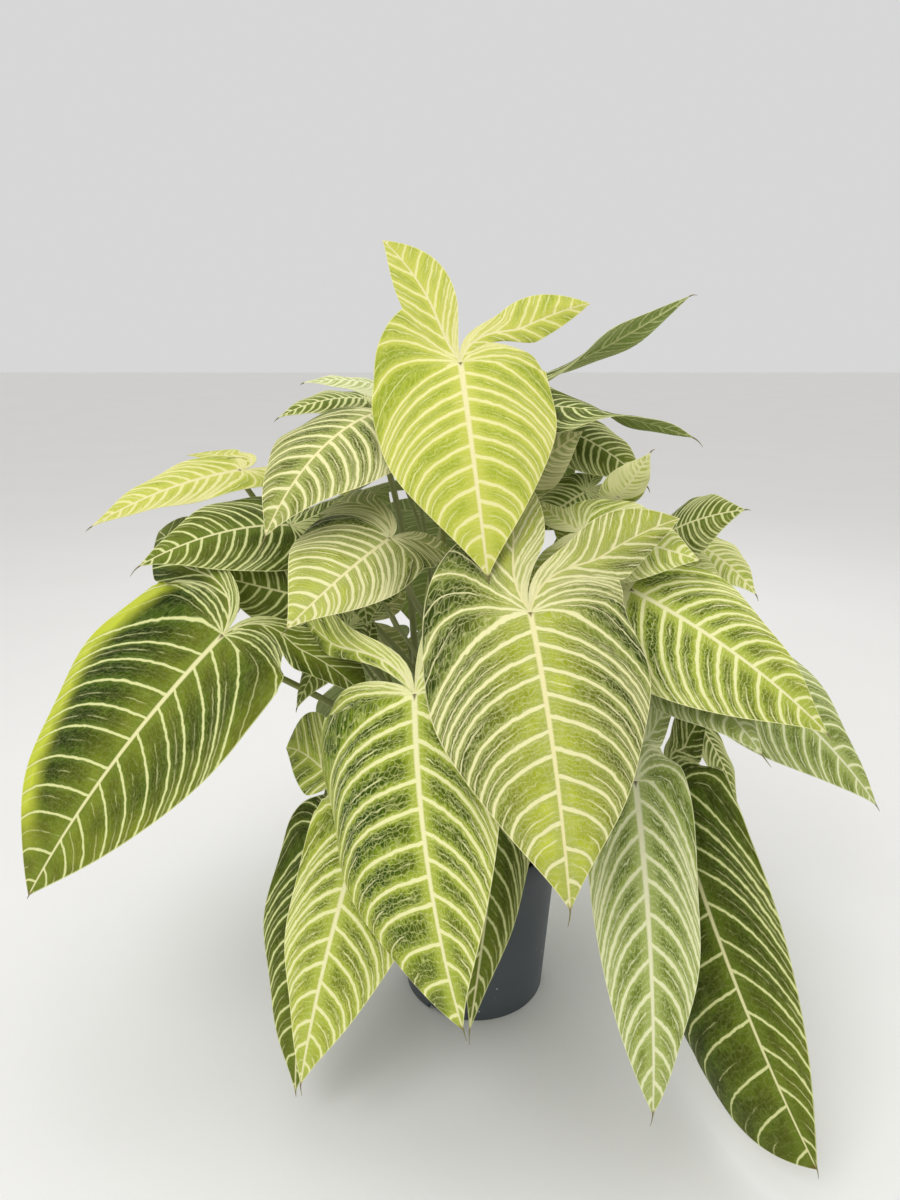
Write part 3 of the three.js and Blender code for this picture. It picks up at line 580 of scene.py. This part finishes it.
# %% [markdown]
# ## Growing a blade
# The blade is a closed sheet: a grid on top, the same grid below it, and a thin edge between.
# Between two side veins the real blade swells a little, and below it the ribs stand out as
# rounded ridges, so both are modelled and not only painted. The grid carries its numbers in
# five UV layers: vein number and share across; spacing and distance to the rib; the place on
# the flat leaf; distance to the margin and warmth; the rib's half width and share along.

# %% Build one strip of the blade
BLADE, MARGIN = 0.9, 0.45
SWELL = 0.8
LEAF_APART = 700
LAYERS = ("vein", "gauge", "flat", "edge", "rib")

# Yellowing: at the left margin, at the right margin, towards the tip, along the middle.
WARM = {
    "leaf_left_big": (1.7, 0.3, 0, 0.3), "leaf_centre": (0, 0, 0.15, 0.9),
    "leaf_mid_left": (0, 0, 0.9, 0.3), "leaf_front_low": (0.5, 0.2, 0, 0.2),
    "leaf_low_left": (0.4, 0.3, 0.2, 0.3), "leaf_crown": (0.1, 0, 0.25, 0.3),
    "leaf_far_left": (0.2, 0.2, 0.6, 0), "leaf_right_mid": (0, 0.3, 0.2, 0.2),
}


def warmth_of(leaf, side, place, reach, from_margin):
    left, right, tip, middle = WARM.get(leaf["name"], (0.1, 0.1, 0.1, 0.1))
    band = smooth((place + 0.5) / 0.5) * smooth((0.95 - place) / 0.3)
    edge = (left if side < 0 else right) * smooth(1 - from_margin / 36) * band
    return edge + tip * smooth((place - 0.1) / 0.8) + middle * np.exp(-((reach / 38) ** 2))


# How much wider or narrower the rib is painted than it is modelled.
RIB = {"lime": 1.45, "grey": 1.1, "vivid": 1.1, "pale": 1.1, "dark": 0.85}


def rib_width(leaf, place):
    """Half the width of the rib, in mm: strong at the collar, fine at the tip and in the lobes."""
    scale = np.clip(leaf["length"] / 280, 0.45, 1.1)
    lobe = np.clip(-FAN_SPAN - place, 0, 1)
    front = 0.45 + 2.1 * (1 - np.clip(place, 0, 1)) ** 0.8
    return scale * np.where(place >= 0, front, 0.4 + 1.5 * (1 - lobe))


def strip(leaf, side, half_rows, columns, inner, index):
    """A grid of points with their outward direction, swelling, thickness and ten UV numbers."""
    rib, margin, along, place = half_rows
    share = np.linspace(0, 1, columns + 1)
    flat = rib[:, None] + (margin - rib)[:, None] * share[None, :, None]
    shape = flat.shape[:2]
    along = np.broadcast_to(along[:, None], shape)
    share = np.broadcast_to(share, shape)
    place = np.broadcast_to(place[:, None], shape)
    at, out = on_blade(leaf, flat, side, along, share / 2 if inner else share)
    number = (inner_vein_number if inner else vein_number)(place, share, side, leaf["phase"])
    spacing = spacing_of(at, number)
    reach = np.linalg.norm(np.diff(at, axis=1), axis=-1)
    reach = np.concatenate([np.zeros((shape[0], 1)), np.cumsum(reach, axis=1)], axis=1)
    from_margin = (reach[:, -1:] - reach) * 0.92
    width = rib_width(leaf, place)
    swell = SWELL * (0.5 - 0.5 * np.cos(2 * np.pi * number)) * smooth((spacing - 6) / 10)
    swell = swell * smooth(reach / 8) * smooth(from_margin / 8)
    ridge = 1.15 * width * np.exp(-((reach / (1.6 * width)) ** 2))
    thick = MARGIN + (BLADE - MARGIN) * smooth(from_margin / 4)
    thick = thick + ridge * smooth(0.1 + from_margin / 6)
    length = leaf["length"]
    layers = np.stack([
        number, share, spacing, reach,
        flat[..., 0] * length + LEAF_APART * index, side * flat[..., 1] * length,
        from_margin, warmth_of(leaf, side, place, reach, from_margin),
        width * RIB[leaf["tone"]], place,
    ], axis=-1)
    return at, out, swell, thick, layers


def grid_triangles(shape, first, turned):
    ids = first + np.arange(shape[0] * shape[1]).reshape(shape)
    a, b, c, d = ids[:-1, :-1], ids[:-1, 1:], ids[1:, 1:], ids[1:, :-1]
    pairs = ((a, b, c), (a, c, d)) if turned else ((a, c, b), (a, d, c))
    return np.concatenate([np.stack([x.ravel() for x in p], axis=1) for p in pairs])


# %% [markdown]
# Where strips meet, on the ribs, a point is in the grid twice. Equal points are joined into one,
# with the mean of their swelling and thickness, while each face keeps its own UV numbers, so
# the veins on the left may start between those on the right. Then the lower face is added, and
# a narrow edge wherever a side of a triangle has no neighbour.

# %% Grow a whole blade
def grow_blade(leaf, index):
    columns = FINE_ACROSS[leaf["rows"]]
    grids, triangles, first = [], [], 0
    for i, side in enumerate((-1, 1)):
        outer, inner = flat_half(leaf["rows"], leaf["waist"][i], leaf["full"][i])
        for rows, count, is_inner in ((outer, columns[0], False), (inner, columns[1], True)):
            grid = strip(leaf, side, rows, count, is_inner, index)
            shape = grid[0].shape[:2]
            triangles.append(grid_triangles(shape, first, (side > 0) == is_inner))
            grids.append([part.reshape(shape[0] * shape[1], -1) for part in grid])
            first += shape[0] * shape[1]
    at, out, swell, thick, layers = (np.vstack(parts) for parts in zip(*grids))
    _, same = np.unique(np.round(at, 2), axis=0, return_inverse=True)
    same = same.ravel()
    many = np.bincount(same)

    def mean(values):
        return np.stack([np.bincount(same, column) / many for column in values.T], axis=1)

    top = mean(at) + mean(swell) * unit(mean(out))
    bottom = top - mean(thick) * unit(mean(out))
    tops = np.vstack(triangles)
    joined = same[tops]
    real = (joined != np.roll(joined, 1, axis=1)).all(axis=1)
    tops, joined = tops[real], joined[real]
    count = len(many)
    edge_ids = np.vstack([tops[:, [0, 1]], tops[:, [1, 2]], tops[:, [2, 0]]])
    edges = same[edge_ids]
    lonely = ~np.isin(edges[:, 0] * count + edges[:, 1], edges[:, 1] * count + edges[:, 0])
    a, b = edges[lonely].T
    u, v = edge_ids[lonely].T
    rim = np.vstack([np.stack([a, a + count, b + count], 1), np.stack([a, b + count, b], 1)])
    rim_uv = np.vstack([np.stack([u, u, v], 1), np.stack([u, v, v], 1)])
    corners = np.vstack([joined, joined[:, ::-1] + count, rim])
    uv_corners = np.vstack([tops, tops[:, ::-1], rim_uv])
    finish = np.concatenate([np.zeros(len(tops)), np.ones(len(tops)), np.zeros(len(rim))])
    return np.vstack([top, bottom]), corners, layers[uv_corners.ravel()], finish


# %% [markdown]
# ## Stalks
# Each stalk stands upright in the soil and then sweeps in one curve to the underside of its
# blade. The real stalk is round, a little swollen where it meets the blade, and widens into a
# sheath at its foot. It is swept along the same curve as its solid.

# %% Sweep a stalk
SOIL_TOP, SUNK, UPRIGHT = 188, 26, 10
SHEATH, SHEATH_LENGTH, KNEE, KNEE_LENGTH = 0.22, 70, 0.2, 10
STALK_SIDES = {"large": 14, "small": 10}
STALK_STEPS = {"large": 44, "small": 30}
THREAD = {"large": 9, "small": 5}


def stalk_line(leaf):
    """The middle of the stalk, from its foot in the soil into the underside of the blade."""
    at, out = on_blade(leaf, np.array([0.03, 0.0]), 1, 0.5, 0.0)
    x, y = leaf["root"]
    bottom = np.array([x, y, SOIL_TOP - SUNK], float)
    ground = np.array([x, y, SOIL_TOP + UPRIGHT], float)
    outward = unit(np.array([at[0] - x, at[1] - y, 0]))
    reach = np.linalg.norm(at - ground)
    arrive = unit(outward * leaf["lean"] + np.array([0, 0, 0.8]))
    if arrive.dot(out) < 0.3:
        arrive = unit(arrive + 0.5 * out)
    sunk = 1 + leaf["stalk"][0] * math.sqrt(1 - min(1, arrive.dot(out) ** 2))
    end = at - sunk * out
    push = np.array([x + leaf["push"][0], y + leaf["push"][1], ground[2] + 0.45 * reach])
    curve = (ground, push, end - 0.35 * reach * arrive, end)
    k = np.linspace(0, 1, STALK_STEPS[leaf["rows"]] + 1)
    return np.vstack([bottom, on_curve(curve, k)])


def ring_faces(rings, sides):
    """The four corners of each face between rings of points that are numbered ring by ring."""
    step, j = np.meshgrid(np.arange(rings - 1), np.arange(sides), indexing="ij")
    a, b = (step * sides + j).ravel(), (step * sides + (j + 1) % sides).ravel()
    return np.stack([a, b, b + sides, a + sides], axis=1)


def tube(line, radii, sides):
    """Points of a round body along a line, ring by ring, and its triangles."""
    ahead = unit(np.vstack([line[1] - line[0], line[2:] - line[:-2], line[-1] - line[-2]]))
    spoke = np.array([1.0, 0, 0])
    rings = []
    angle = np.arange(sides) * 2 * np.pi / sides
    for centre, forward, radius in zip(line, ahead, radii):
        spoke = unit(spoke - spoke.dot(forward) * forward)
        other = np.cross(forward, spoke)
        round_it = np.cos(angle)[:, None] * spoke + np.sin(angle)[:, None] * other
        rings.append(centre + radius * round_it)
    a, b, c, d = ring_faces(len(line), sides).T
    faces = np.vstack([np.stack([a, b, c], 1), np.stack([a, c, d], 1)])
    last = (len(line) - 1) * sides
    caps = [(0, i + 1, i) for i in range(1, sides - 1)]
    caps += [(last, last + i, last + i + 1) for i in range(1, sides - 1)]
    return np.vstack(rings), np.vstack([faces, caps])


def distances(line):
    """How far each point of a line is along it."""
    return np.concatenate([[0], np.cumsum(np.linalg.norm(np.diff(line, axis=0), axis=1))])


def skinned(line, radii, sides, height):
    """A tube with the numbers its material needs: distance along it, way round it, and height."""
    points, faces = tube(line, radii, sides)
    layers = np.zeros((len(points), 10))
    layers[:, 4] = np.repeat(distances(line), sides)
    layers[:, 5] = np.tile(np.abs(np.arange(sides) - sides / 2), len(line))
    layers[:, 9] = np.repeat(height, sides)
    return points, faces, layers[faces.ravel()]


def grow_stalk(leaf):
    line = stalk_line(leaf)
    top, foot = leaf["stalk"]
    reach = distances(line)
    k = reach / reach[-1]
    sheath = 1 + SHEATH * smooth(1 - (reach - SUNK) / SHEATH_LENGTH)
    knee = 1 + KNEE * smooth(1 - (reach[-1] - reach) / KNEE_LENGTH)
    radii = (foot + (top - foot) * k) * sheath * knee
    return skinned(line, radii, STALK_SIDES[leaf["rows"]], k)


def grow_thread(leaf):
    """The dry thread at the tip of a leaf: it goes on from the midrib and hangs a little."""
    ends, out = on_blade(leaf, np.array([[0.95, 0.0], [0.993, 0.0]]), 1, np.zeros(2), np.zeros(2))
    ahead, out = unit(ends[1] - ends[0]), unit(out[1])
    k = np.linspace(0, 1, 9)[:, None]
    length = THREAD[leaf["rows"]] * (1 + 0.35 * math.sin(5 * leaf["phase"]))
    side = 0.25 * math.sin(3 * leaf["phase"]) * np.cross(out, ahead)
    line = ends[1] - 0.45 * out + length * (k * ahead + k**2 * side - k**2 * np.array([0, 0, 0.3]))
    return skinned(line, 0.85 - 0.65 * k[:, 0], 6, np.zeros(9))


# %% [markdown]
# ## Painting a leaf
# The photograph shows cream veins, each with a soft pale halo, on green that darkens between
# them in feathery patches crossed by fine hatching. The shader works in that order: ground
# colour, dark patches, yellowing, halos, hatching and net, finer veins, main veins, ribs, margin.
# All is drawn from the vein numbers and from distances in millimetres. Five tones share the
# formula. A row gives their colours, the veins' half width, the halo's width and strength, and
# the strength of the dark patches and of the net.

# %% Mix the leaf materials
TONES = {
    "lime": ("#a3b034", "#788d22", "#c8cb5a", "#ebe6a4", "#eae2aa", 1.2, 8.0, 0.8, 0.55, 0.5),
    "grey": ("#5a6c20", "#223206", "#a3ab5a", "#efeab2", "#eae2a8", 1.2, 7.0, 0.7, 0.9, 0.65),
    "vivid": ("#6c8412", "#2a4404", "#b6c24c", "#f4f2b4", "#f0ecb4", 1.2, 6.5, 0.8, 1.0, 0.65),
    "dark": ("#344c08", "#122002", "#6a7c2c", "#e4e6a2", "#e6e2a8", 0.75, 4.0, 0.35, 0.8, 0.2),
    "pale": ("#7a9034", "#3e5412", "#b1bd6e", "#f0f1c0", "#ecebc0", 1.2, 7.0, 0.75, 0.75, 0.6),
}
YELLOWED, DRY, CORKY = "#c3cc3e", "#6d5a2a", "#4f4020"
HATCHES, SWAY = 5, 1.6


def vein_numbers(shader):
    """What both faces start from: vein number, share, spacing, reach, flat place and sway."""
    number, share = shader.layer("vein")
    spacing, reach = shader.layer("gauge")
    flat = shader.point(*shader.layer("flat"))
    sway = shader.noise(flat, 0.09) - 0.5
    return number + sway * 3.0 / spacing, share, spacing, reach, flat, sway


def vein_lines(shader, number, spacing, width, soft):
    """1 on lines where number is whole, each line 2 * width mm wide, and their distance in mm."""
    away = shader.node("Math", {0: number, 1: 0.5}, operation="PINGPONG") * spacing
    return 1 - shader.rise(away - width, 0.0, soft), away


def hatching(shader, number, share, spacing, sway, width, soft):
    number = number * HATCHES + share * SWAY + sway * SWAY
    return vein_lines(shader, number, spacing / HATCHES, width, soft)[0]


def leaf_finish(name, ground, deep, glow, vein, rib, width, halo, haze, patch, net):
    shader = Shader(name)
    number, share, spacing, reach, flat, sway = vein_numbers(shader)
    margin, warmth = shader.layer("edge")
    half_rib, place = shader.layer("rib")
    x = shader.layer("flat")[0] * 0.01
    cloud = shader.noise(flat, 0.035, 3.0)

    strong = 0.5 + 0.5 * shader.rise(place, -0.5, 0.1)
    main, away = vein_lines(shader, number, spacing, width * strong * (1.0 - 0.6 * share), 1.2)
    near = 1 - shader.rise(away, 0.0, halo)
    second, _ = vein_lines(shader, number + 0.5, spacing, 0.3, 0.7)
    second = second * shader.rise(cloud + 0.3 * share, 0.55, 0.75)
    hatch = hatching(shader, number, share, spacing, sway, 0.12, 0.6)
    cells = {"Vector": shader.point(number * 6 + sway * 0.8, share * 22 + sway, x), "Scale": 1.0}
    mesh = 1 - shader.rise(shader.node("TexVoronoi", cells, feature="DISTANCE_TO_EDGE"), 0.0, 0.14)
    lines = shader.clamp(mesh * 0.5 + hatch * 0.6) * net * shader.rise(margin, 0.5, 3.0)

    blotch = shader.noise(flat, 0.06, 4.0, 0.6)
    feather = shader.noise(shader.point(number * 9, share * 30, x), 1.0, 3.0, 0.6)
    dark = 0.7 * (away / spacing * 2) + 1.5 * (blotch - 0.5) + 1.3 * (feather - 0.5)
    dark = shader.rise(dark, 0.0, 0.6) * shader.rise(reach, 4.0, 16.0) * patch

    rib_glow = (1 - shader.rise(reach - half_rib, 0.0, 13.0)) * haze
    ridge = 1 - shader.rise(reach, half_rib * 0.5, half_rib * 1.25 + 0.7)
    from_collar = reach + shader.node("Math", {0: place}, operation="ABSOLUTE") * 120
    colour = shader.coats(
        shader.mix(cloud, ground, shader.mix(0.35, ground, glow)),
        (dark, deep),
        (shader.clamp(warmth * (0.3 + cloud)), YELLOWED),
        (shader.clamp(near * haze), glow),
        (rib_glow * 0.8, glow),
        (lines, shader.mix(0.5, glow, vein)),
        (second * (0.25 + net * 0.7), vein),
        (main * 0.9, vein),
        (ridge, rib),
        ((1 - shader.rise(margin, 0.4, 1.3)) * 0.6, vein),
        (shader.rise(place, 0.975, 0.995) * 0.8, DRY),
        ((1 - shader.rise(from_collar, 1.0, 3.5)) * 0.85, CORKY),
    )
    height = 0.25 * mesh - 0.6 * main - 0.3 * second + 0.15 * blotch - 0.5 * ridge
    rough = 0.44 + 0.12 * cloud + 0.08 * near
    return shader.finish(Base_Color=colour, Roughness=rough, Specular_IOR_Level=0.05,
                         Normal=shader.bump(height, 0.0006, 0.6))


finishes = {tone: leaf_finish(f"leaf_{tone}", *row) for tone, row in TONES.items()}
print("leaf materials:", sorted(finishes))

# %% [markdown]
# The underside of a leaf is paler and quite matt, and its veins stand out in relief. The stalk
# is a dull green that browns towards its foot, with fine streaks along it.

# %% Mix the underside and the stalk
def underside_finish():
    shader = Shader("leaf_underside")
    number, share, spacing, reach, flat, sway = vein_numbers(shader)
    half_rib, _ = shader.layer("rib")
    main, _ = vein_lines(shader, number, spacing, 0.9 - 0.5 * share, 0.8)
    second, _ = vein_lines(shader, number + 0.5, spacing, 0.25, 0.6)
    hatch = hatching(shader, number, share, spacing, sway, 0.1, 0.5)
    colour = shader.coats(
        shader.mix(shader.noise(flat, 0.05, 3.0), "#75863e", "#8c9c55"),
        (hatch * 0.3, "#a3b06c"),
        (shader.clamp(main + second * 0.6) * 0.8, "#c4ca8c"),
        (1 - shader.rise(reach, half_rib * 0.9, half_rib * 1.6 + 0.5), "#c0c486"),
    )
    height = main + 0.5 * second + 0.2 * hatch
    return shader.finish(Base_Color=colour, Roughness=0.62, Specular_IOR_Level=0.15,
                         Normal=shader.bump(height, 0.0008, 0.6))


def stalk_finish():
    shader = Shader("leaf_stalk")
    x, y = shader.layer("flat")
    _, up = shader.layer("rib")
    streak = shader.noise(shader.point(x * 0.02, y * 1.5), 1.0, 3.0)
    speck = shader.noise(shader.point(x * 0.25, y * 1.2), 1.0, 2.0)
    colour = shader.coats(
        shader.mix(streak, "#76803f", "#a2a468"),
        (shader.rise(speck, 0.6, 0.75) * 0.5, "#5b5a2c"),
        ((1 - shader.rise(up, 0.02, 0.25)) * 0.6, "#6a5530"),
        (shader.rise(up, 0.8, 1.0) * 0.5, "#b4b06f"),
    )
    bump = shader.bump(streak, 0.0005, 0.5)
    return shader.finish(Base_Color=colour, Roughness=0.45, Normal=bump)


underside = underside_finish()
stalk_skin = stalk_finish()
print("underside and stalk are ready")

# %% [markdown]
# ## Growing all the leaves
# Blade and stalk grew as one, so they are one object, which takes the place of their solid.
# Edges sharper than about 55 degrees, such as the margin's, stay sharp in the shading.

# %% Grow the forty leaves
def new_mesh_object(name, points, corners, layers, finish, materials):
    """An object from triangles in millimetres; layers holds two numbers for each UV layer."""
    mesh = bpy.data.meshes.new(name)
    mesh.vertices.add(len(points))
    mesh.vertices.foreach_set("co", (points * MM).astype(np.float32).ravel())
    mesh.loops.add(corners.size)
    mesh.loops.foreach_set("vertex_index", corners.astype(np.int32).ravel())
    mesh.polygons.add(len(corners))
    mesh.polygons.foreach_set("loop_start", np.arange(0, corners.size, 3, dtype=np.int32))
    mesh.polygons.foreach_set("material_index", finish.astype(np.int32))
    mesh.update(calc_edges=True)
    for i, layer in enumerate(LAYERS if layers is not None else ()):
        uv = mesh.uv_layers.new(name=layer)
        uv.data.foreach_set("uv", layers[:, 2 * i:2 * i + 2].astype(np.float32).ravel())
    mesh.validate()
    mesh.shade_smooth()
    mesh.set_sharp_from_angle(angle=math.radians(55))
    for material in materials:
        mesh.materials.append(material)
    thing = bpy.data.objects.new(name, mesh)
    scene.collection.objects.link(thing)
    return thing


triangle_count = 0
for index, line in enumerate(LEAVES):
    leaf = pose(line)
    points, corners, layers, finish = grow_blade(leaf, index)
    for more_points, more_corners, more_layers in (grow_stalk(leaf), grow_thread(leaf)):
        corners = np.vstack([corners, more_corners + len(points)])
        points = np.vstack([points, more_points])
        layers = np.vstack([layers, more_layers])
        finish = np.concatenate([finish, np.full(len(more_corners), 2)])
    skin = finishes[leaf["look"] or leaf["tone"]]
    grown = new_mesh_object(leaf["name"] + "_grown", points, corners, layers, finish,
                            [skin, underside, stalk_skin])
    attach(grown, "root")
    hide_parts(leaf["name"])
    triangle_count += len(corners)
print("leaf triangles:", triangle_count)

# %% [markdown]
# ## The pot
# A tapered pot moulded in slate-grey plastic, satin and slightly scuffed, with a collar under
# the rim. The CAD solid has forty flat sides, so a rounder one is turned from the same
# profile, with small fillets, and the notches for water are cut from its foot.

# %% Turn the pot
POT_HEIGHT, RIM_RADIUS, FOOT_RADIUS = 215, 105, 87.5
COLLAR_HEIGHT, COLLAR_STEP, WALL, POT_FLOOR = 28, 2.2, 3, 5
TURNS = 144


def inside_at(z):
    foot = FOOT_RADIUS - WALL
    return foot + (RIM_RADIUS - WALL - foot) * z / (POT_HEIGHT - 0.4)


def turned(profile, turns):
    """A closed body from a profile that starts and ends on the axis."""
    profile = np.array(profile, float)
    angle = np.arange(turns) * 2 * np.pi / turns
    rings = profile[1:-1]
    points = np.stack([
        rings[:, :1] * np.cos(angle), rings[:, :1] * np.sin(angle),
        np.repeat(rings[:, 1:], turns, axis=1)], axis=-1).reshape(-1, 3)
    points = np.vstack([points, [0, 0, profile[0, 1]], [0, 0, profile[-1, 1]]])
    faces = ring_faces(len(rings), turns).tolist()
    low, high, last = len(points) - 2, len(points) - 1, (len(rings) - 1) * turns
    faces += [(low, (j + 1) % turns, j) for j in range(turns)]
    faces += [(high, last + j, last + (j + 1) % turns) for j in range(turns)]
    return points, faces


slope = (RIM_RADIUS - COLLAR_STEP - FOOT_RADIUS) / POT_HEIGHT
step = POT_HEIGHT - COLLAR_HEIGHT
wall = [(FOOT_RADIUS + slope * z, z) for z in (1.5, 40, 90, 140, step - 0.8)]
collar = FOOT_RADIUS + slope * step + COLLAR_STEP
pot_profile = [
    (0, 0), (FOOT_RADIUS - 6, 0), (FOOT_RADIUS - 1.4, 0), (FOOT_RADIUS - 0.4, 0.4), *wall,
    (collar - COLLAR_STEP + 0.4, step), (collar - 0.5, step + 0.3), (collar, step + 1.2),
    (RIM_RADIUS - 0.1, POT_HEIGHT - 1.6), (RIM_RADIUS - 0.4, POT_HEIGHT - 0.6),
    (RIM_RADIUS - 1.2, POT_HEIGHT - 0.1), (RIM_RADIUS - 2.2, POT_HEIGHT - 0.1),
    (RIM_RADIUS - WALL, POT_HEIGHT - 0.8), (inside_at(150), 150),
    (inside_at(POT_FLOOR), POT_FLOOR), (0, POT_FLOOR),
]
pot_points, pot_faces = turned(pot_profile, TURNS)
pot = new_object("pot_moulded", pot_points * MM, pot_faces)
print("pot", [round(d / MM) for d in pot.dimensions], "mm")

# %% Cut the notches
DRAIN_HOLES, DRAIN_START = 3, -0.033
DRAIN_WIDTH, DRAIN_HEIGHT, DRAIN_DEPTH, DRAIN_ROUNDING = 24, 7, 14, 0.0018


def cut_notch(pot, angle):
    bpy.ops.mesh.primitive_cube_add(size=1)
    cutter = bpy.context.object
    cutter.scale = (DRAIN_DEPTH * MM, DRAIN_WIDTH * MM, DRAIN_HEIGHT * 2 * MM)
    out = FOOT_RADIUS * MM
    cutter.location = (out * math.cos(angle), out * math.sin(angle), 0)
    cutter.rotation_euler = (0, 0, angle)
    rounding = cutter.modifiers.new("rounding", "BEVEL")
    rounding.width = DRAIN_ROUNDING
    rounding.segments = 3
    notch = pot.modifiers.new("notch", "BOOLEAN")
    notch.object = cutter
    notch.operation = "DIFFERENCE"
    bpy.context.view_layer.objects.active = pot
    bpy.ops.object.modifier_apply(modifier="notch")
    bpy.data.objects.remove(cutter)


for i in range(DRAIN_HOLES):
    cut_notch(pot, (i + DRAIN_START) / DRAIN_HOLES * 2 * math.pi)
pot.data.shade_smooth()
pot.data.set_sharp_from_angle(angle=math.radians(35))
print("pot faces:", len(pot.data.polygons))

# %% Give the pot its plastic
def pot_finish():
    shader = Shader("pot_plastic")
    place = shader.node("TexCoord", output=3)
    grain = shader.noise(place, 2200.0, 2.0)
    scuff = shader.noise(place, 14.0, 5.0, 0.65)
    cells = shader.node("TexVoronoi", {"Vector": place, "Scale": 75.0}, feature="F1")
    chosen = shader.rise(shader.noise(place, 9.0, 0.0), 0.6, 0.63)
    speck = (1 - shader.rise(cells, 0.06, 0.10)) * chosen
    colour = shader.coats(shader.mix(scuff, "#3c4247", "#52595e"), (speck * 0.8, "#c9cfd1"))
    return shader.finish(Base_Color=colour, Roughness=0.42 + 0.22 * scuff,
                         Normal=shader.bump(grain, 0.0001, 0.25))


pot.data.materials.append(pot_finish())
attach(pot, "root")
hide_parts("pot")
print("pot is dressed")

# %% [markdown]
# ## The soil
# Potting mix is dark brown and crumbly: fibres of peat with bits of bark and a few grains of
# white perlite. The bed is a turned body whose top is roughened, and loose crumbs are
# scattered on it from a seeded draw, each an uneven pebble of twenty faces.

# %% Fill the pot
GAP, SOIL_CROWN = 0.35, 7
rng = np.random.default_rng(11)


def soil_height(radius):
    return SOIL_TOP + SOIL_CROWN * (1 - (radius / inside_at(SOIL_TOP)) ** 2) - 1.0


def rough_bed():
    rings = np.linspace(0, inside_at(SOIL_TOP) - GAP, 40)[::-1]
    bottom = POT_FLOOR + GAP
    profile = [(0, bottom), (inside_at(bottom) - GAP, bottom)]
    profile += [(r, soil_height(r)) for r in rings]
    points, faces = turned(profile, 120)
    top = points[:, 2] > SOIL_TOP - 3
    edge = np.hypot(points[:, 0], points[:, 1]) > inside_at(SOIL_TOP) - 1
    lift = np.zeros(len(points))
    for size, height in ((34, 1.2), (15, 0.9), (6, 0.6)):
        shift = rng.uniform(0, 6.3, (4, 2))
        for k, (sx, sy) in enumerate(shift):
            turn = k * 0.8 + size
            along = points[:, 0] * math.cos(turn) + points[:, 1] * math.sin(turn)
            over = -points[:, 0] * math.sin(turn) + points[:, 1] * math.cos(turn)
            lift += height / 2 * np.sin(along * 6.28 / size + sx) * np.sin(over * 6.28 / size + sy)
    points[:, 2] += np.where(top & ~edge, np.clip(lift, -3, 1.0), 0)
    return points, faces


bed_points, bed_faces = rough_bed()
soil = new_object("soil_bed", bed_points * MM, bed_faces)
soil.data.shade_smooth()
print("soil faces:", len(bed_faces))

# %% Scatter the crumbs
GOLD = (1 + 5**0.5) / 2
PAIRS = [(near, far) for far in (GOLD, -GOLD) for near in (-1, 1)]
BALL = unit(np.array(
    [(near, far, 0) for near, far in PAIRS] + [(0, near, far) for near, far in PAIRS]
    + [(far, 0, near) for near, far in PAIRS], float))
BALL_FACES = np.array([
    (0, 11, 5), (0, 5, 1), (0, 1, 7), (0, 7, 10), (0, 10, 11), (1, 5, 9), (5, 11, 4), (11, 10, 2),
    (10, 7, 6), (7, 1, 8), (3, 9, 4), (3, 4, 2), (3, 2, 6), (3, 6, 8), (3, 8, 9), (4, 9, 5),
    (2, 4, 11), (6, 2, 10), (8, 6, 7), (9, 8, 1)])


def crumbs(count, small, large, flatness):
    """Pebbles from small to large, in mm, as high as flatness says, strewn over the bed."""
    points, corners = [], []
    for i in range(count):
        radius = (inside_at(SOIL_TOP) - 6) * math.sqrt(rng.uniform())
        angle = rng.uniform(0, 2 * math.pi)
        size = small + (large - small) * rng.uniform() ** 2
        stretch = np.array([rng.uniform(0.7, 1.5), rng.uniform(0.6, 1.1), flatness])
        ball = BALL * stretch * size * rng.uniform(0.8, 1.2, (12, 1))
        turn = rng.uniform(0, 2 * math.pi)
        x = ball[:, 0] * math.cos(turn) - ball[:, 1] * math.sin(turn)
        y = ball[:, 0] * math.sin(turn) + ball[:, 1] * math.cos(turn)
        centre = (radius * math.cos(angle), radius * math.sin(angle), soil_height(radius))
        points.append(np.stack([x, y, ball[:, 2]], axis=1) + centre)
        corners.append(BALL_FACES + 12 * i)
    return np.vstack(points), np.vstack(corners)


def soil_finish(name, low, high, scale, rough):
    shader = Shader(name)
    place = shader.node("TexCoord", output=3)
    lumps = shader.noise(place, scale, 6.0, 0.65)
    fibres = shader.noise(place, scale * 4, 4.0, 0.7)
    colour = shader.coats(shader.mix(shader.rise(lumps, 0.3, 0.7), low, high),
                          (shader.rise(fibres, 0.62, 0.75) * 0.5, "#7a5f42"))
    bump = shader.bump(lumps + 0.5 * fibres, 0.003, 0.9)
    return shader.finish(Base_Color=colour, Roughness=rough, Normal=bump)


soil.data.materials.append(soil_finish("potting_mix", "#1d140d", "#443021", 160.0, 0.95))
KINDS = [
    ("soil_clods", (700, 0.9, 3.6, 0.7), ("peat_clods", "#20160e", "#4c3625", 240.0, 0.95)),
    ("soil_bark", (130, 1.6, 4.6, 0.35), ("bark_chips", "#4a3320", "#7d5a38", 300.0, 0.85)),
    ("soil_perlite", (60, 0.7, 1.7, 0.85), ("perlite", "#c9c4b8", "#eeebe2", 400.0, 0.9)),
]
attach(soil, "root")
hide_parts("soil")
for name, shape, look in KINDS:
    points, corners = crumbs(*shape)
    plain = np.zeros(len(corners))
    bits = new_mesh_object(name, points, corners, None, plain, [soil_finish(*look)])
    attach(bits, "root")
    print(name, len(corners), "triangles")
